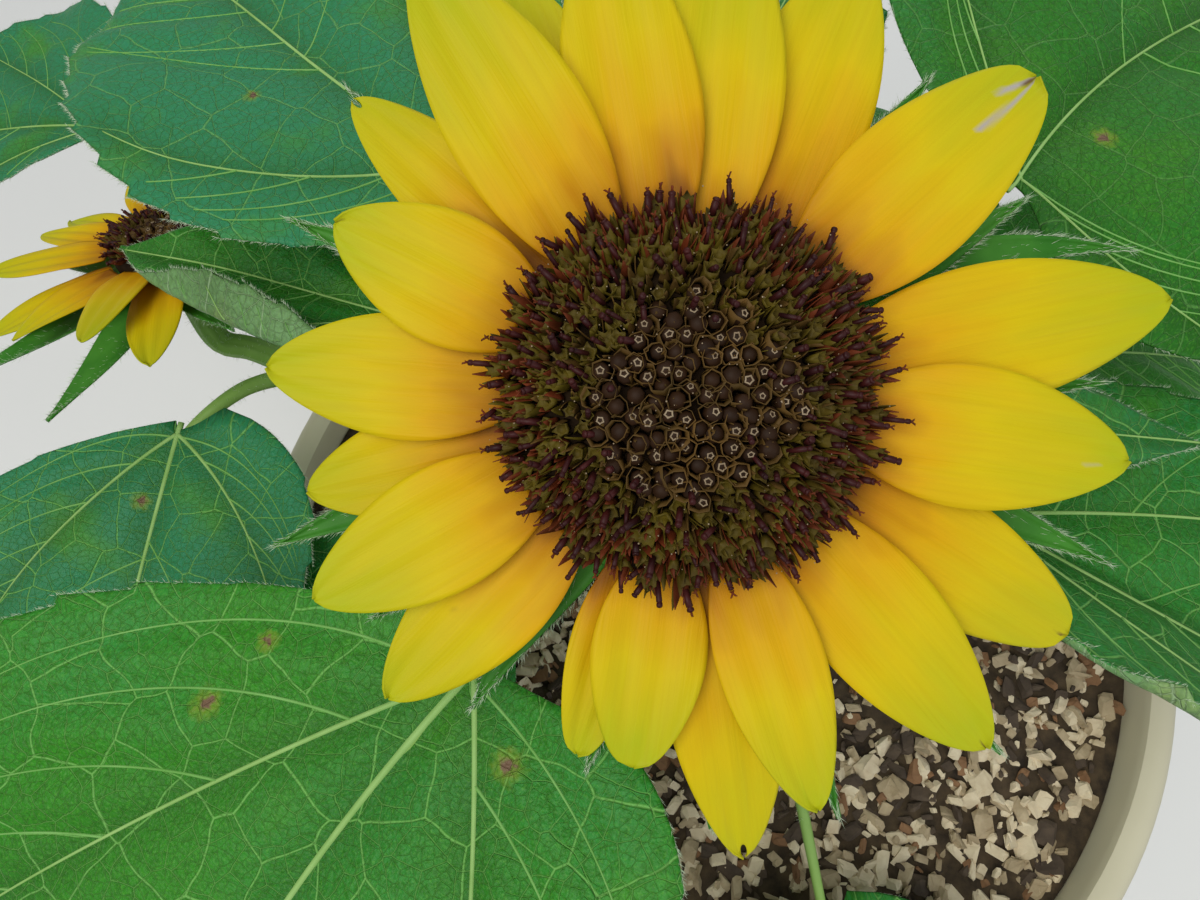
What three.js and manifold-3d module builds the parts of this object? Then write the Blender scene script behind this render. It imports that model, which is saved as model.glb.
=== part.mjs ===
// A potted sunflower in bloom: a round pot of bark potting mix, a main stem that carries the large head,
// a side branch that carries a smaller one, and the broad stalked leaves of both.
// Millimetres, +Z up. The origin is the centre of the pot's flat underside, and the large head faces up and
// towards -Y.
import * as THREE from "three";
import { mergeVertices } from "three/addons/utils/BufferGeometryUtils.js";
import Module from "manifold-3d";

const wasm = await Module();
wasm.setup();

const radians = THREE.MathUtils.degToRad;

// A unit vector at a direction round +Z, counted from +X, and a climb, both in degrees
function heading(toward, climb) {
  const a = radians(toward);
  const c = radians(climb);
  return new THREE.Vector3(Math.cos(a) * Math.cos(c), Math.sin(a) * Math.cos(c), Math.sin(c));
}

// Driving dimensions
const GAP = 0.3; // clear space between two pieces that touch
const POT = {
  height: 245,
  rimRadius: 147.5,
  baseRadius: 102,
  wall: 5,
  floor: 6,
  lipHeight: 24,
  lipWidth: 9.5,
  footRound: 4,
  sides: 36,
};
const DRAIN = { count: 5, radius: 7, ring: 62 };
const MIX = { edgeHeight: 231, crown: 234, lump: 1.6, flat: 24, calmEdge: 12, rings: 6 };
const FACE_TILT = 23; // degrees that the large head faces away from straight up, towards -Y

const MAIN_HEAD = {
  centre: new THREE.Vector3(-23, -14, 404),
  facing: heading(-90, 90 - FACE_TILT),
  disk: 25.5, // radius of the disk's foot, where the ray petals stand
  brim: 28.6, // radius of the disk at the florets' tips
  dome: 10,
  sides: 28,
  pegs: 28, // outermost florets, which lean out over the petals
  pegLength: 5,
  petalRows: 8,
  cupDepth: 16,
  bractWidth: 12,
};
const SIDE_HEAD = {
  centre: new THREE.Vector3(-150, 67, 327),
  facing: new THREE.Vector3(-0.14, 0.36, 0.92).normalize(),
  disk: 13.5,
  brim: 15,
  dome: 5.5,
  sides: 16,
  pegs: 16,
  pegLength: 3.5,
  petalRows: 5,
  cupDepth: 11,
  bractWidth: 17,
};

// Ray petals of the large head: at is the direction in degrees from +X, reach the tip's distance from the
// centre, and layer the place in the stack, 0 at the back.
const MAIN_PETALS = [
  { at: 11.4, reach: 72, width: 20.5, layer: 1 },
  { at: 42.4, reach: 66, width: 21, layer: 2 },
  { at: 68, reach: 71, width: 21, layer: 0 },
  { at: 84, reach: 70, width: 19, layer: 1 },
  { at: 100.5, reach: 68, width: 19.5, layer: 2 },
  { at: 112, reach: 67, width: 16, layer: 0 },
  { at: 122.5, reach: 69, width: 20, layer: 3 },
  { at: 138, reach: 66.5, width: 15, layer: 0 },
  { at: 154, reach: 55.5, width: 19, layer: 2 },
  { at: 176, reach: 61, width: 18.5, layer: 1 },
  { at: 194, reach: 58, width: 16, layer: 0 },
  { at: 208.8, reach: 60.5, width: 18, layer: 2 },
  { at: 225.5, reach: 62, width: 17.5, layer: 1 },
  { at: 253.5, reach: 56, width: 12, layer: 0 },
  { at: 262, reach: 55, width: 17, layer: 1 },
  { at: 277.8, reach: 70.5, width: 18, layer: 0 },
  { at: 287.5, reach: 62, width: 15.5, layer: 2 },
  { at: 310.6, reach: 68, width: 19, layer: 1 },
  { at: 328.5, reach: 68.5, width: 19, layer: 0 },
  { at: 351.6, reach: 63, width: 20.5, layer: 2 },
];
const SIDE_PETALS = { count: 15, reach: 45, width: 13 };

// Directions in degrees of the long bracts behind each head, and their tips' distances from its centre
const MAIN_BRACTS = [
  [2, 64],
  [18, 75],
  [30, 60],
  [52, 63],
  [78, 70],
  [99, 66],
  [119, 73],
  [137, 71],
  [155.6, 65],
  [177, 60],
  [200, 66],
  [215.6, 59],
  [236, 57],
  [256, 60],
  [274, 66],
  [291, 71],
  [312, 73],
  [339, 73],
];
const SIDE_BRACTS = [
  [5, 40],
  [45, 44],
  [90, 40],
  [130, 46],
  [170, 42],
  [201, 48],
  [228, 58],
  [257, 56],
  [310, 44],
];

// Leaves: at is the height where the stalk leaves its stem, toward and rise the stalk's direction and climb in
// degrees, turn how far the blade swings from the stalk, slope the climb at the blade's foot, bend how far the
// blade droops from foot to tip, roll how far its right side is lifted and fold how far both sides are. Base,
// round and lobe shape the blade's foot and are given where they aren't the usual ones in LEAF; left holds those
// that are different on the blade's left side, seen from the foot, where the width may differ too.
const LEAVES = [
  { name: "leaf_front_left", at: 338, toward: 235, rise: 22, stalk: 80, turn: 1,
    length: 180, width: 158, slope: -10, bend: 26, roll: -4, fold: 5, base: 0.12, round: 1, lobe: 0.02,
    left: { width: 116, base: 0.03, round: 4 } },
  { name: "leaf_back_left", at: 330, toward: 145, rise: 33, stalk: 78, turn: -10,
    length: 144, width: 106, slope: 2, bend: 28, roll: 0, fold: 7 },
  { name: "leaf_back_right", at: 350, toward: 27, rise: 25, stalk: 76, turn: 13,
    length: 146, width: 138, slope: 1, bend: 26, roll: -6, fold: 7, round: 2.8, lobe: 0.1,
    left: { round: 2, lobe: 0.02 } },
  { name: "leaf_front_right", at: 325, toward: 324, rise: 29, stalk: 66, turn: 10,
    length: 116, width: 84, slope: -4, bend: 22, roll: 22, fold: 22 },
  { name: "leaf_curled", at: 324, toward: 168, rise: 18, stalk: 75, turn: -5,
    length: 75, width: 40, slope: 3, bend: 12, roll: -6, fold: 18 },
  { name: "leaf_small", at: 362, toward: 344, rise: 24, stalk: 43, turn: 14,
    length: 60, width: 20, slope: -2, bend: 12, roll: 6, fold: 10 },
  { name: "leaf_low_right", at: 292, toward: 12, rise: 24, stalk: 66, turn: 0,
    length: 112, width: 92, slope: -4, bend: 34, roll: 0, fold: 7 },
  { name: "leaf_low_front", at: 258, toward: 281, rise: 1, stalk: 124, turn: 0,
    length: 104, width: 88, slope: 6, bend: 36, roll: 0, fold: 7 },
  { name: "leaf_back", at: 312, toward: 92, rise: 26, stalk: 74, turn: 0,
    length: 118, width: 98, slope: 2, bend: 32, roll: 0, fold: 7 },
  { name: "leaf_low_back", at: 272, toward: 62, rise: 16, stalk: 78, turn: 0,
    length: 104, width: 86, slope: 0, bend: 40, roll: 0, fold: 7 },
  { name: "leaf_low_left", at: 274, toward: 212, rise: 10, stalk: 82, turn: 0,
    length: 104, width: 86, slope: 0, bend: 36, roll: 0, fold: 7 },
];
const SIDE_LEAVES = [
  { name: "side_leaf_front", at: 287, toward: 222, rise: 20, stalk: 39, turn: 38,
    length: 108, width: 94, slope: -8, bend: 20, roll: 0, fold: 7, round: 1, lobe: 0.02,
    left: { round: 2.5, lobe: 0.07 } },
  { name: "side_leaf_left", at: 275, toward: 240, rise: -14, stalk: 50, turn: -10,
    length: 78, width: 60, slope: -6, bend: 34, roll: 0, fold: 7 },
  { name: "side_leaf_back", at: 290, toward: 130, rise: 9, stalk: 98, turn: 40,
    length: 98, width: 100, slope: -8, bend: 22, roll: 0, fold: 7,
    left: { width: 48, round: 1, lobe: 0.02 } },
];

// Stem lines run through these points, and the last stretch of each lies on the axis of its head
const FOOT_DEPTH = 3; // how far the main stem's line starts under the top of the mix, before it is cut flat
const MAIN_FOOT = new THREE.Vector3(2, 22, MIX.crown - FOOT_DEPTH);
const MAIN_STEM = {
  through: [
    MAIN_FOOT,
    new THREE.Vector3(0, 23, 262),
    new THREE.Vector3(-6, 20, 310),
    new THREE.Vector3(-16, 11, 348),
  ],
  foot: 9.5,
  thick: 6.2,
  thin: 4.6,
  steps: 14,
};
const SIDE_STEM = {
  from: 258, // height where it leaves the main stem
  through: [
    new THREE.Vector3(-48, 32, 266),
    new THREE.Vector3(-100, 43, 276),
    new THREE.Vector3(-137, 54, 294),
  ],
  foot: 4.8,
  thick: 4,
  thin: 3.3,
  steps: 12,
};
const STEM = {
  sides: 8,
  flareFade: 14, // how fast the foot's flare dies out along the stem
  collar: 1.6, // swelling under the head
  collarFade: 22,
  straight: 22, // length under the cup that lies on the head's axis
};

// Leaf stalks: they rise by kneeRise degrees more up to their knee, and run on under the blade as its midrib
const STALK = {
  sides: 5,
  steps: 7,
  radius: 2.7,
  taper: 0.6,
  kneeAt: 0.55,
  kneeRise: 12,
  ribAt: [0.05, 0.18, 0.34],
  ribDrop: 1.05,
  fullLength: 110, // of a blade whose stalk has the full radius
};

// What the leaves share: thick and teeth as such, the rest as shares of its length or width. The bigger round is,
// the rounder the blade's shoulders are, and lobe is how far they reach back past the stalk.
const LEAF = {
  thick: 1.75,
  base: 0.03,
  round: 2,
  baseCurve: 2.2,
  tipCurve: 1.15,
  widest: 0.32,
  lobe: 0.06,
  teeth: 6,
  toothDepth: 0.045,
  wave: 0.03,
  columns: 4,
};

// Ray petals: backHeight is where the hindmost layer stands against the disk's foot, and neck and fullness
// shape the outline, which is a stretch of a sine
const PETAL = {
  thick: 0.8,
  columns: 2,
  foot: 0.7,
  backHeight: -1.7,
  layerStep: 1.55,
  backPitch: 3,
  pitchStep: 3.6,
  arch: 13,
  cup: 0.4,
  neck: 0.17,
  fullness: 0.75,
};

// Bracts: two rows in turn, the outer one lower and steeper, and both curling up to their tips
const BRACT = {
  thick: 0.9,
  columns: 2,
  rows: 3,
  top: -4, // height of the cup's edge, under the petals
  inset: 4,
  sink: 1,
  drop: 1.6,
  pitch: -7,
  pitchStep: 4,
  curl: 13,
  cup: 0.7,
  taper: 0.85,
};
const CUP = {
  overhang: 2.5, // past the disk's foot
  lid: 0.9,
  shape: [[0, 1], [0.3, 1], [0.55, 0.8], [0.86, 0.5]], // radius and depth, as shares of the whole
};

// The disk: its petals stand below the shoulder, rings are shares of its brim, and rough is the height that
// neighbouring points of the dome differ by, either way
const DISK = {
  shoulder: 4.85,
  wall: 6.65,
  round: 1.2,
  rings: [1, 0.88, 0.72, 0.54, 0.36, 0.18],
  rough: 0.45,
  pegTop: 0.8,
  pegFoot: 0.6,
  pegInset: 2.6,
  leans: [24, 38, 52],
};

const COLOURS = {
  pot: { color: 0xa59c85, roughness: 0.55 },
  mix: { color: 0x54402f, roughness: 0.95 },
  stem: { color: 0x6f9440, roughness: 0.7 },
  leaf: { color: 0x3c7a34, roughness: 0.6 },
  petal: { color: 0xe0bd1a, roughness: 0.55 },
  disk: { color: 0x3a2416, roughness: 0.85 },
  bract: { color: 0x4d8a35, roughness: 0.7 },
};

// A closed three.js geometry as a manifold-3d solid
function solidOf(geometry) {
  const bare = geometry.index ? geometry.toNonIndexed() : geometry.clone();
  bare.deleteAttribute("normal");
  bare.deleteAttribute("uv");
  const merged = mergeVertices(bare, 1e-4);
  return new wasm.Manifold(
    new wasm.Mesh({
      numProp: 3,
      vertProperties: merged.attributes.position.array,
      triVerts: new Uint32Array(merged.index.array),
    }),
  );
}

// A manifold-3d solid as a three.js geometry with flat faces
function geometryOf(solid) {
  const mesh = solid.getMesh();
  const geometry = new THREE.BufferGeometry()
    .setAttribute("position", new THREE.BufferAttribute(new Float32Array(mesh.vertProperties), 3))
    .setIndex(new THREE.BufferAttribute(new Uint32Array(mesh.triVerts), 1))
    .toNonIndexed();
  geometry.computeVertexNormals();
  return geometry;
}

function joined(geometries) {
  return geometries.map(solidOf).reduce((whole, piece) => whole.add(piece));
}

// Moves every vertex of a geometry to the place that place(x, y, z) gives
function reshaped(geometry, place) {
  const position = geometry.getAttribute("position");
  for (let i = 0; i < position.count; i++) {
    const p = place(position.getX(i), position.getY(i), position.getZ(i));
    position.setXYZ(i, p.x, p.y, p.z);
  }
  return geometry;
}

// A round limb along a curve: a unit cylinder, bent, with radiusAt(share of the length) at each ring
function limb(curve, radiusAt, sides, steps) {
  const frames = curve.computeFrenetFrames(steps);
  return reshaped(new THREE.CylinderGeometry(1, 1, 1, sides, steps), (x, y, z) => {
    const share = y + 0.5;
    const ring = Math.round(share * steps);
    const radius = radiusAt(share);
    return curve
      .getPointAt(share)
      .addScaledVector(frames.normals[ring], x * radius)
      .addScaledVector(frames.binormals[ring], -z * radius);
  });
}

// A thin blade: a unit box, with surface(across, along) giving the point and normal of its middle sheet,
// across from -1 to 1 and along from 0 to 1
function blade(surface, thickness, columns, rows) {
  return reshaped(new THREE.BoxGeometry(1, 1, 1, columns, rows, 1), (x, y, z) => {
    const { point, normal } = surface(2 * x, y + 0.5);
    return point.addScaledVector(normal, z * thickness);
  });
}

// The midline of a blade that starts at a pitch and droops evenly: run, rise and pitch at a share of its length
function droopingLine(length, startPitch, bend, share) {
  const pitch = startPitch - bend * share;
  const perRadian = length / bend;
  return {
    run: perRadian * (Math.sin(startPitch) - Math.sin(pitch)),
    rise: perRadian * (Math.cos(pitch) - Math.cos(startPitch)),
    pitch,
  };
}

// What shapes a leaf's foot on the side of across, which is below zero on the left
function footShape(leaf, across) {
  return { ...LEAF, ...leaf, ...(across < 0 ? leaf.left : {}) };
}

// The half width of a leaf at a share of its length: rounded near the foot, drawn out to the tip
function leafHalfWidth(leaf, share, across) {
  const { width, base, round } = footShape(leaf, across);
  const half = width / 2;
  if (share < LEAF.widest) {
    const back = (LEAF.widest - share) / LEAF.widest;
    return half * (1 - (1 - base) * back ** LEAF.baseCurve) ** (1 / round);
  }
  const onward = (share - LEAF.widest) / (1 - LEAF.widest);
  return Math.max(half * Math.cos((Math.PI / 2) * onward) ** LEAF.tipCurve, LEAF.thick / 3);
}

// Teeth along the margin: 1 at a tooth's point and -1 in the notch behind it
function toothAt(share) {
  const turn = share * LEAF.teeth;
  return 2 * Math.abs(2 * (turn - Math.floor(turn + 0.5))) - 1;
}

// The surface of a leaf blade whose stalk ends at foot
function leafSurface(leaf, foot) {
  const flat = heading(leaf.toward + leaf.turn, 0);
  const up = new THREE.Vector3(0, 0, 1);
  const side = new THREE.Vector3().crossVectors(flat, up);
  const roll = radians(leaf.roll);
  const fold = Math.tan(radians(leaf.fold));
  return (across, along) => {
    const line = droopingLine(leaf.length, radians(leaf.slope), radians(leaf.bend), along);
    const ahead = flat.clone().multiplyScalar(Math.cos(line.pitch)).addScaledVector(up, Math.sin(line.pitch));
    const above = new THREE.Vector3().crossVectors(side, ahead);
    const out = side.clone().multiplyScalar(Math.cos(roll)).addScaledVector(above, Math.sin(roll));
    const normal = above.clone().multiplyScalar(Math.cos(roll)).addScaledVector(side, -Math.sin(roll));
    const edge = Math.abs(across);
    const toothed = 1 + LEAF.toothDepth * toothAt(along) * edge ** 6;
    const reach = across * leafHalfWidth(leaf, along, across) * toothed;
    const lobe = footShape(leaf, across).lobe * leaf.length * edge ** 1.6 * (1 - along) ** 5;
    const wave = LEAF.wave * leaf.width * Math.sin(3 * Math.PI * along + leaf.at) * edge ** 2;
    const point = foot
      .clone()
      .addScaledVector(flat, line.run)
      .addScaledVector(up, line.rise)
      .addScaledVector(ahead, -lobe)
      .addScaledVector(out, reach)
      .addScaledVector(normal, Math.abs(reach) * fold + wave * (1 - along) * along * 4);
    return { point, normal };
  };
}

// The point of a stem's line at a height
function pointAtHeight(curve, height) {
  let low = 0;
  let high = 1;
  for (let i = 0; i < 30; i++) {
    const middle = (low + high) / 2;
    if (curve.getPointAt(middle).z < height) low = middle;
    else high = middle;
  }
  return curve.getPointAt(low);
}

// A whole leaf: its stalk from the stem, which runs on under the blade as the midrib, fused with the blade
function leafSolid(leaf, stem) {
  const start = pointAtHeight(stem.curve, leaf.at);
  const foot = start.clone().addScaledVector(heading(leaf.toward, leaf.rise), leaf.stalk);
  const climb = heading(leaf.toward, leaf.rise + STALK.kneeRise);
  const knee = start.clone().addScaledVector(climb, leaf.stalk * STALK.kneeAt);
  const surface = leafSurface(leaf, foot);
  const ribPoints = STALK.ribAt.map((share) => {
    const { point, normal } = surface(0, share);
    return point.addScaledVector(normal, -STALK.ribDrop);
  });
  const slim = Math.min(1, leaf.length / STALK.fullLength);
  const curve = new THREE.CatmullRomCurve3([start, knee, ...ribPoints]);
  const radiusAt = (share) => STALK.radius * slim * (1 - STALK.taper * share);
  const stalk = limb(curve, radiusAt, STALK.sides, STALK.steps);
  const sheet = blade(surface, LEAF.thick, LEAF.columns, 2 * LEAF.teeth);
  return joined([stalk, sheet]).subtract(stem.clearance);
}

// The line of a stem, its solid, and the same solid grown by the gap, which cuts what meets it
function stemFrom(points, sizes) {
  const curve = new THREE.CatmullRomCurve3(points);
  const radiusAt = (share) => {
    const flare = (sizes.foot - sizes.thick) * Math.exp(-share * STEM.flareFade);
    const narrowing = (sizes.thick - sizes.thin) * share;
    const collar = STEM.collar * Math.exp(-(1 - share) * STEM.collarFade);
    return sizes.thick + flare - narrowing + collar;
  };
  const grown = (share) => radiusAt(share) + GAP * 1.2;
  return {
    curve,
    solid: solidOf(limb(curve, radiusAt, STEM.sides, sizes.steps)),
    clearance: solidOf(limb(curve, grown, STEM.sides, sizes.steps)),
  };
}

// Two points under a head on its axis, for its stem to arrive along
function approach(head) {
  const below = (depth) => head.centre.clone().addScaledVector(head.facing, -depth);
  return [below(head.cupDepth + STEM.straight), below(head.cupDepth + 1.6 * GAP)];
}

// Places a geometry that is modelled with its head's face up and centre at the origin
function ontoHead(geometry, head) {
  const turn = new THREE.Quaternion().setFromUnitVectors(new THREE.Vector3(0, 0, 1), head.facing);
  return geometry.applyQuaternion(turn).translate(head.centre.x, head.centre.y, head.centre.z);
}

// The middle sheet of a blade that stands round a head: it leaves the circle of radius start at a height and
// pitch, reaches out to the distance reach, and has halfWidth(along) on each side
function radialSurface({ at, start, reach, height, pitch, arch, cup, halfWidth }) {
  const out = heading(at, 0);
  const up = new THREE.Vector3(0, 0, 1);
  const side = new THREE.Vector3().crossVectors(out, up);
  const full = droopingLine(1, pitch, arch, 1).run;
  const length = (reach - start) / full;
  return (across, along) => {
    const line = droopingLine(length, pitch, arch, along);
    const normal = up.clone().multiplyScalar(Math.cos(line.pitch)).addScaledVector(out, -Math.sin(line.pitch));
    const point = out
      .clone()
      .multiplyScalar(start + line.run)
      .addScaledVector(up, height + line.rise)
      .addScaledVector(side, across * halfWidth(along))
      .addScaledVector(normal, cup * across ** 2);
    return { point, normal };
  };
}

function petalHalfWidth(petal, along) {
  const swell = Math.sin(Math.PI * (PETAL.neck + (1 - PETAL.neck) * along));
  return Math.max((petal.width / 2) * swell ** PETAL.fullness, PETAL.thick / 3);
}

function petalGeometry(petal, head) {
  const surface = radialSurface({
    at: petal.at,
    start: head.disk + PETAL.foot,
    reach: petal.reach,
    height: PETAL.backHeight + PETAL.layerStep * petal.layer,
    pitch: radians(PETAL.backPitch + PETAL.pitchStep * petal.layer),
    arch: radians(PETAL.arch),
    cup: PETAL.cup,
    halfWidth: (along) => petalHalfWidth(petal, along),
  });
  return ontoHead(blade(surface, PETAL.thick, PETAL.columns, head.petalRows), head);
}

// The small head's petals go round by a rule, with even steps and lengths that vary in threes
function sidePetals() {
  const { count, reach, width } = SIDE_PETALS;
  return Array.from({ length: count }, (_, i) => ({
    at: (360 / count) * i + 5 * Math.sin(i * 2.4),
    reach: reach * (1 + 0.06 * Math.cos(i * 2.1)),
    width: width * (1 + 0.08 * Math.sin(i * 1.7)),
    layer: i % 3,
  }));
}

function bractHalfWidth(head, along) {
  const belly = 0.82 + 0.9 * along * (1 - along);
  return Math.max((head.bractWidth / 2) * (1 - along) ** BRACT.taper * belly, BRACT.thick / 3);
}

function bractGeometry([at, reach], outer, head) {
  const surface = radialSurface({
    at,
    start: head.disk + CUP.overhang - BRACT.inset,
    reach,
    height: BRACT.top - BRACT.sink - outer * BRACT.drop,
    pitch: radians(BRACT.pitch - BRACT.pitchStep * outer),
    arch: radians(-BRACT.curl),
    cup: BRACT.cup,
    halfWidth: (along) => bractHalfWidth(head, along),
  });
  return blade(surface, BRACT.thick, BRACT.columns, BRACT.rows);
}

// A profile of [radius, height] points turned about +Z
function turned(profile, sides) {
  const points = profile.map(([radius, height]) => new THREE.Vector2(radius, height));
  return new THREE.LatheGeometry(points, sides).rotateX(Math.PI / 2);
}

// The green cup behind a head, with its long bracts fused on
function calyxSolid(head, bractTips) {
  const rim = head.disk + CUP.overhang;
  const lid = BRACT.top + CUP.lid;
  const under = CUP.shape.map(([out, down]) => [rim * out, -head.cupDepth * down]);
  const cup = turned([...under, [rim, BRACT.top], [rim - 1, lid], [0, lid]], head.sides);
  const bracts = bractTips.map((tip, i) => bractGeometry(tip, i % 2, head));
  const whole = joined([cup, ...bracts]);
  return solidOf(ontoHead(geometryOf(whole), head));
}

// A low dome whose points lie a little high and low in turn, over the brim and the foot of a disk
function domeGeometry(head) {
  const bottom = BRACT.top + CUP.lid + GAP;
  const rise = head.dome - DISK.wall;
  const rings = DISK.rings.map((share) => [head.brim * share, DISK.wall + rise * (1 - share ** 2)]);
  const profile = [
    [0, bottom],
    [head.disk, bottom],
    [head.disk, DISK.shoulder - DISK.round],
    [head.brim - DISK.round / 2, DISK.shoulder + DISK.round / 2],
    ...rings,
    [0, head.dome],
  ];
  return reshaped(turned(profile, head.sides), (x, y, z) => {
    const ring = DISK.rings.findIndex((share) => Math.abs(Math.hypot(x, y) - head.brim * share) < 0.05);
    const spoke = Math.round((Math.atan2(y, x) / (2 * Math.PI)) * head.sides);
    const onDome = ring >= 0 && z > DISK.wall - 0.05;
    return { x, y, z: onDome ? z + DISK.rough * (-1) ** (ring + spoke) : z };
  });
}

// One of the outermost florets, which leans out over the petals
function pegGeometry(head, i) {
  const at = (360 / head.pegs) * (i + 0.5);
  const root = heading(at, 0).multiplyScalar(head.brim - DISK.pegInset).setZ(DISK.wall - GAP);
  const peg = new THREE.CylinderGeometry(DISK.pegTop, DISK.pegFoot, head.pegLength, 4);
  const lean = heading(at, DISK.leans[i % DISK.leans.length]);
  const turn = new THREE.Quaternion().setFromUnitVectors(new THREE.Vector3(0, 1, 0), lean);
  return peg.translate(0, head.pegLength / 2, 0).applyQuaternion(turn).translate(root.x, root.y, root.z);
}

// The brown disk of florets
function diskSolid(head) {
  const pegs = Array.from({ length: head.pegs }, (_, i) => pegGeometry(head, i));
  const whole = joined([domeGeometry(head), ...pegs]);
  return solidOf(ontoHead(geometryOf(whole), head));
}

// The radius of the pot's outside at a height on its sloping wall
function potWallRadius(height) {
  const top = POT.height - POT.lipHeight;
  const shoulder = POT.rimRadius - POT.lipWidth + POT.wall;
  return POT.baseRadius + ((shoulder - POT.baseRadius) * height) / top;
}

function potSolid() {
  const { height, rimRadius, wall, floor, lipHeight, lipWidth, footRound, sides } = POT;
  const lipFoot = height - lipHeight;
  const profile = [
    [0, 0],
    [potWallRadius(0) - footRound, 0],
    [potWallRadius(footRound), footRound],
    [potWallRadius(lipFoot), lipFoot],
    [rimRadius - 1, lipFoot + 1.5],
    [rimRadius, lipFoot + 4],
    [rimRadius, height - 4],
    [rimRadius - 1.5, height - 1],
    [rimRadius - lipWidth / 2, height],
    [rimRadius - lipWidth + 1.2, height - 1],
    [rimRadius - lipWidth, height - 4],
    [potWallRadius(lipFoot) - wall, lipFoot],
    [potWallRadius(floor) - wall, floor],
    [0, floor],
  ];
  let pot = solidOf(turned(profile, sides));
  for (let i = 0; i < DRAIN.count; i++) {
    const place = heading((360 / DRAIN.count) * i, 0).multiplyScalar(DRAIN.ring);
    const drill = new THREE.CylinderGeometry(DRAIN.radius, DRAIN.radius, 4 * floor, 10).rotateX(Math.PI / 2);
    pot = pot.subtract(solidOf(drill.translate(place.x, place.y, 0)));
  }
  return pot;
}

// The potting mix fills the pot, lies level under the stem's foot and is lumpy elsewhere
function mixSolid() {
  const inside = (height) => potWallRadius(height) - POT.wall - GAP;
  const bottom = POT.floor + GAP;
  const lipFoot = POT.height - POT.lipHeight;
  const edge = inside(lipFoot);
  const shares = Array.from({ length: MIX.rings }, (_, i) => 1 - i / MIX.rings);
  const top = shares.map((share) => [edge * share, MIX.crown - (MIX.crown - MIX.edgeHeight) * share ** 2]);
  const profile = [[0, bottom], [inside(bottom), bottom], [edge, lipFoot], ...top, [0, MIX.crown]];
  const filling = reshaped(turned(profile, POT.sides), (x, y, z) => {
    if (z < lipFoot + 0.5) return { x, y, z };
    if (Math.hypot(x - MAIN_FOOT.x, y - MAIN_FOOT.y) < MIX.flat) return { x, y, z: MIX.crown };
    const calm = Math.min(1, (edge - Math.hypot(x, y)) / MIX.calmEdge);
    return { x, y, z: z + MIX.lump * calm * Math.sin(x / 11 + 1) * Math.cos(y / 9) };
  });
  return solidOf(filling);
}

// Everything below the level top of the mix, and a little more, which cuts the main stem's foot flat
function groundBlock() {
  const side = 2 * MIX.flat;
  const depth = 20;
  const block = new THREE.BoxGeometry(side, side, depth);
  return solidOf(block.translate(MAIN_FOOT.x, MAIN_FOOT.y, MIX.crown + GAP - depth / 2));
}

const plant = new THREE.Group();

function addPiece(name, look, solid) {
  const material = new THREE.MeshStandardMaterial({ metalness: 0, ...COLOURS[look] });
  const mesh = new THREE.Mesh(geometryOf(solid), material);
  mesh.name = name;
  plant.add(mesh);
}

function addHead(prefix, head, petals, bractTips) {
  addPiece(`${prefix}_calyx`, "bract", calyxSolid(head, bractTips));
  addPiece(`${prefix}_disk`, "disk", diskSolid(head));
  petals.forEach((petal, i) => {
    const name = `${prefix}_petal_${String(i + 1).padStart(2, "0")}`;
    addPiece(name, "petal", solidOf(petalGeometry(petal, head)));
  });
}

const mainStem = stemFrom([...MAIN_STEM.through, ...approach(MAIN_HEAD)], MAIN_STEM);
const branchStart = pointAtHeight(mainStem.curve, SIDE_STEM.from);
const sideStem = stemFrom([branchStart, ...SIDE_STEM.through, ...approach(SIDE_HEAD)], SIDE_STEM);

addPiece("pot", "pot", potSolid());
addPiece("potting_mix", "mix", mixSolid());
addPiece("main_stem", "stem", mainStem.solid.subtract(groundBlock()));
addPiece("side_branch", "stem", sideStem.solid.subtract(mainStem.clearance));
LEAVES.forEach((leaf) => addPiece(leaf.name, "leaf", leafSolid(leaf, mainStem)));
SIDE_LEAVES.forEach((leaf) => addPiece(leaf.name, "leaf", leafSolid(leaf, sideStem)));
addHead("head", MAIN_HEAD, MAIN_PETALS, MAIN_BRACTS);
addHead("side_head", SIDE_HEAD, sidePetals(), SIDE_BRACTS);

export default plant;
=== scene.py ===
import math

import bmesh
import bpy
import numpy as np
from mathutils import Matrix, Vector


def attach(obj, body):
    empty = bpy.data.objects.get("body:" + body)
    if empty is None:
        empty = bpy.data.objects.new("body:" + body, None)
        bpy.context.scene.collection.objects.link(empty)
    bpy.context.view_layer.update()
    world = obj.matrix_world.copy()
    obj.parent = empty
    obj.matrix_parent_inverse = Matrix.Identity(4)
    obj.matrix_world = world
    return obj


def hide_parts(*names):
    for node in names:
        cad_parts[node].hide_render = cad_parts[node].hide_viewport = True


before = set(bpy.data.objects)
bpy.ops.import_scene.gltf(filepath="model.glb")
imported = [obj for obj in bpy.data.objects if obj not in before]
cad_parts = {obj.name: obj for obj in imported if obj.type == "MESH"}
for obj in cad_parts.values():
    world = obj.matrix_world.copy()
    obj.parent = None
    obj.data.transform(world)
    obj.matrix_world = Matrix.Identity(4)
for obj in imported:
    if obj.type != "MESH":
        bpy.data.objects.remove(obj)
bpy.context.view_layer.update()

MM = 0.001
UP = np.array([0.0, 0.0, 1.0])
chance = np.random.default_rng(11)

# Sizes
GAP = 0.3  # between neighbouring solids
POT = dict(height=245, rim=147.5, base=102, wall=5, floor=6, lip=24, lip_width=9.5, foot=4, sides=128)
LIP_FOOT = POT["height"] - POT["lip"]
DRAIN = dict(count=5, radius=7, ring=62, depth=30, sides=32)
MIX = dict(edge=231, crown=234, lump=1.6, grain=0.5, calm=12, bare=12, lumps_from=14, lumps_full=34,
           sides=120)
CHIP = dict(count=5200, longest=7.5, shortest=2, jitter=1.2, clear_of_stem=12.5, clear_of_wall=4)

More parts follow.
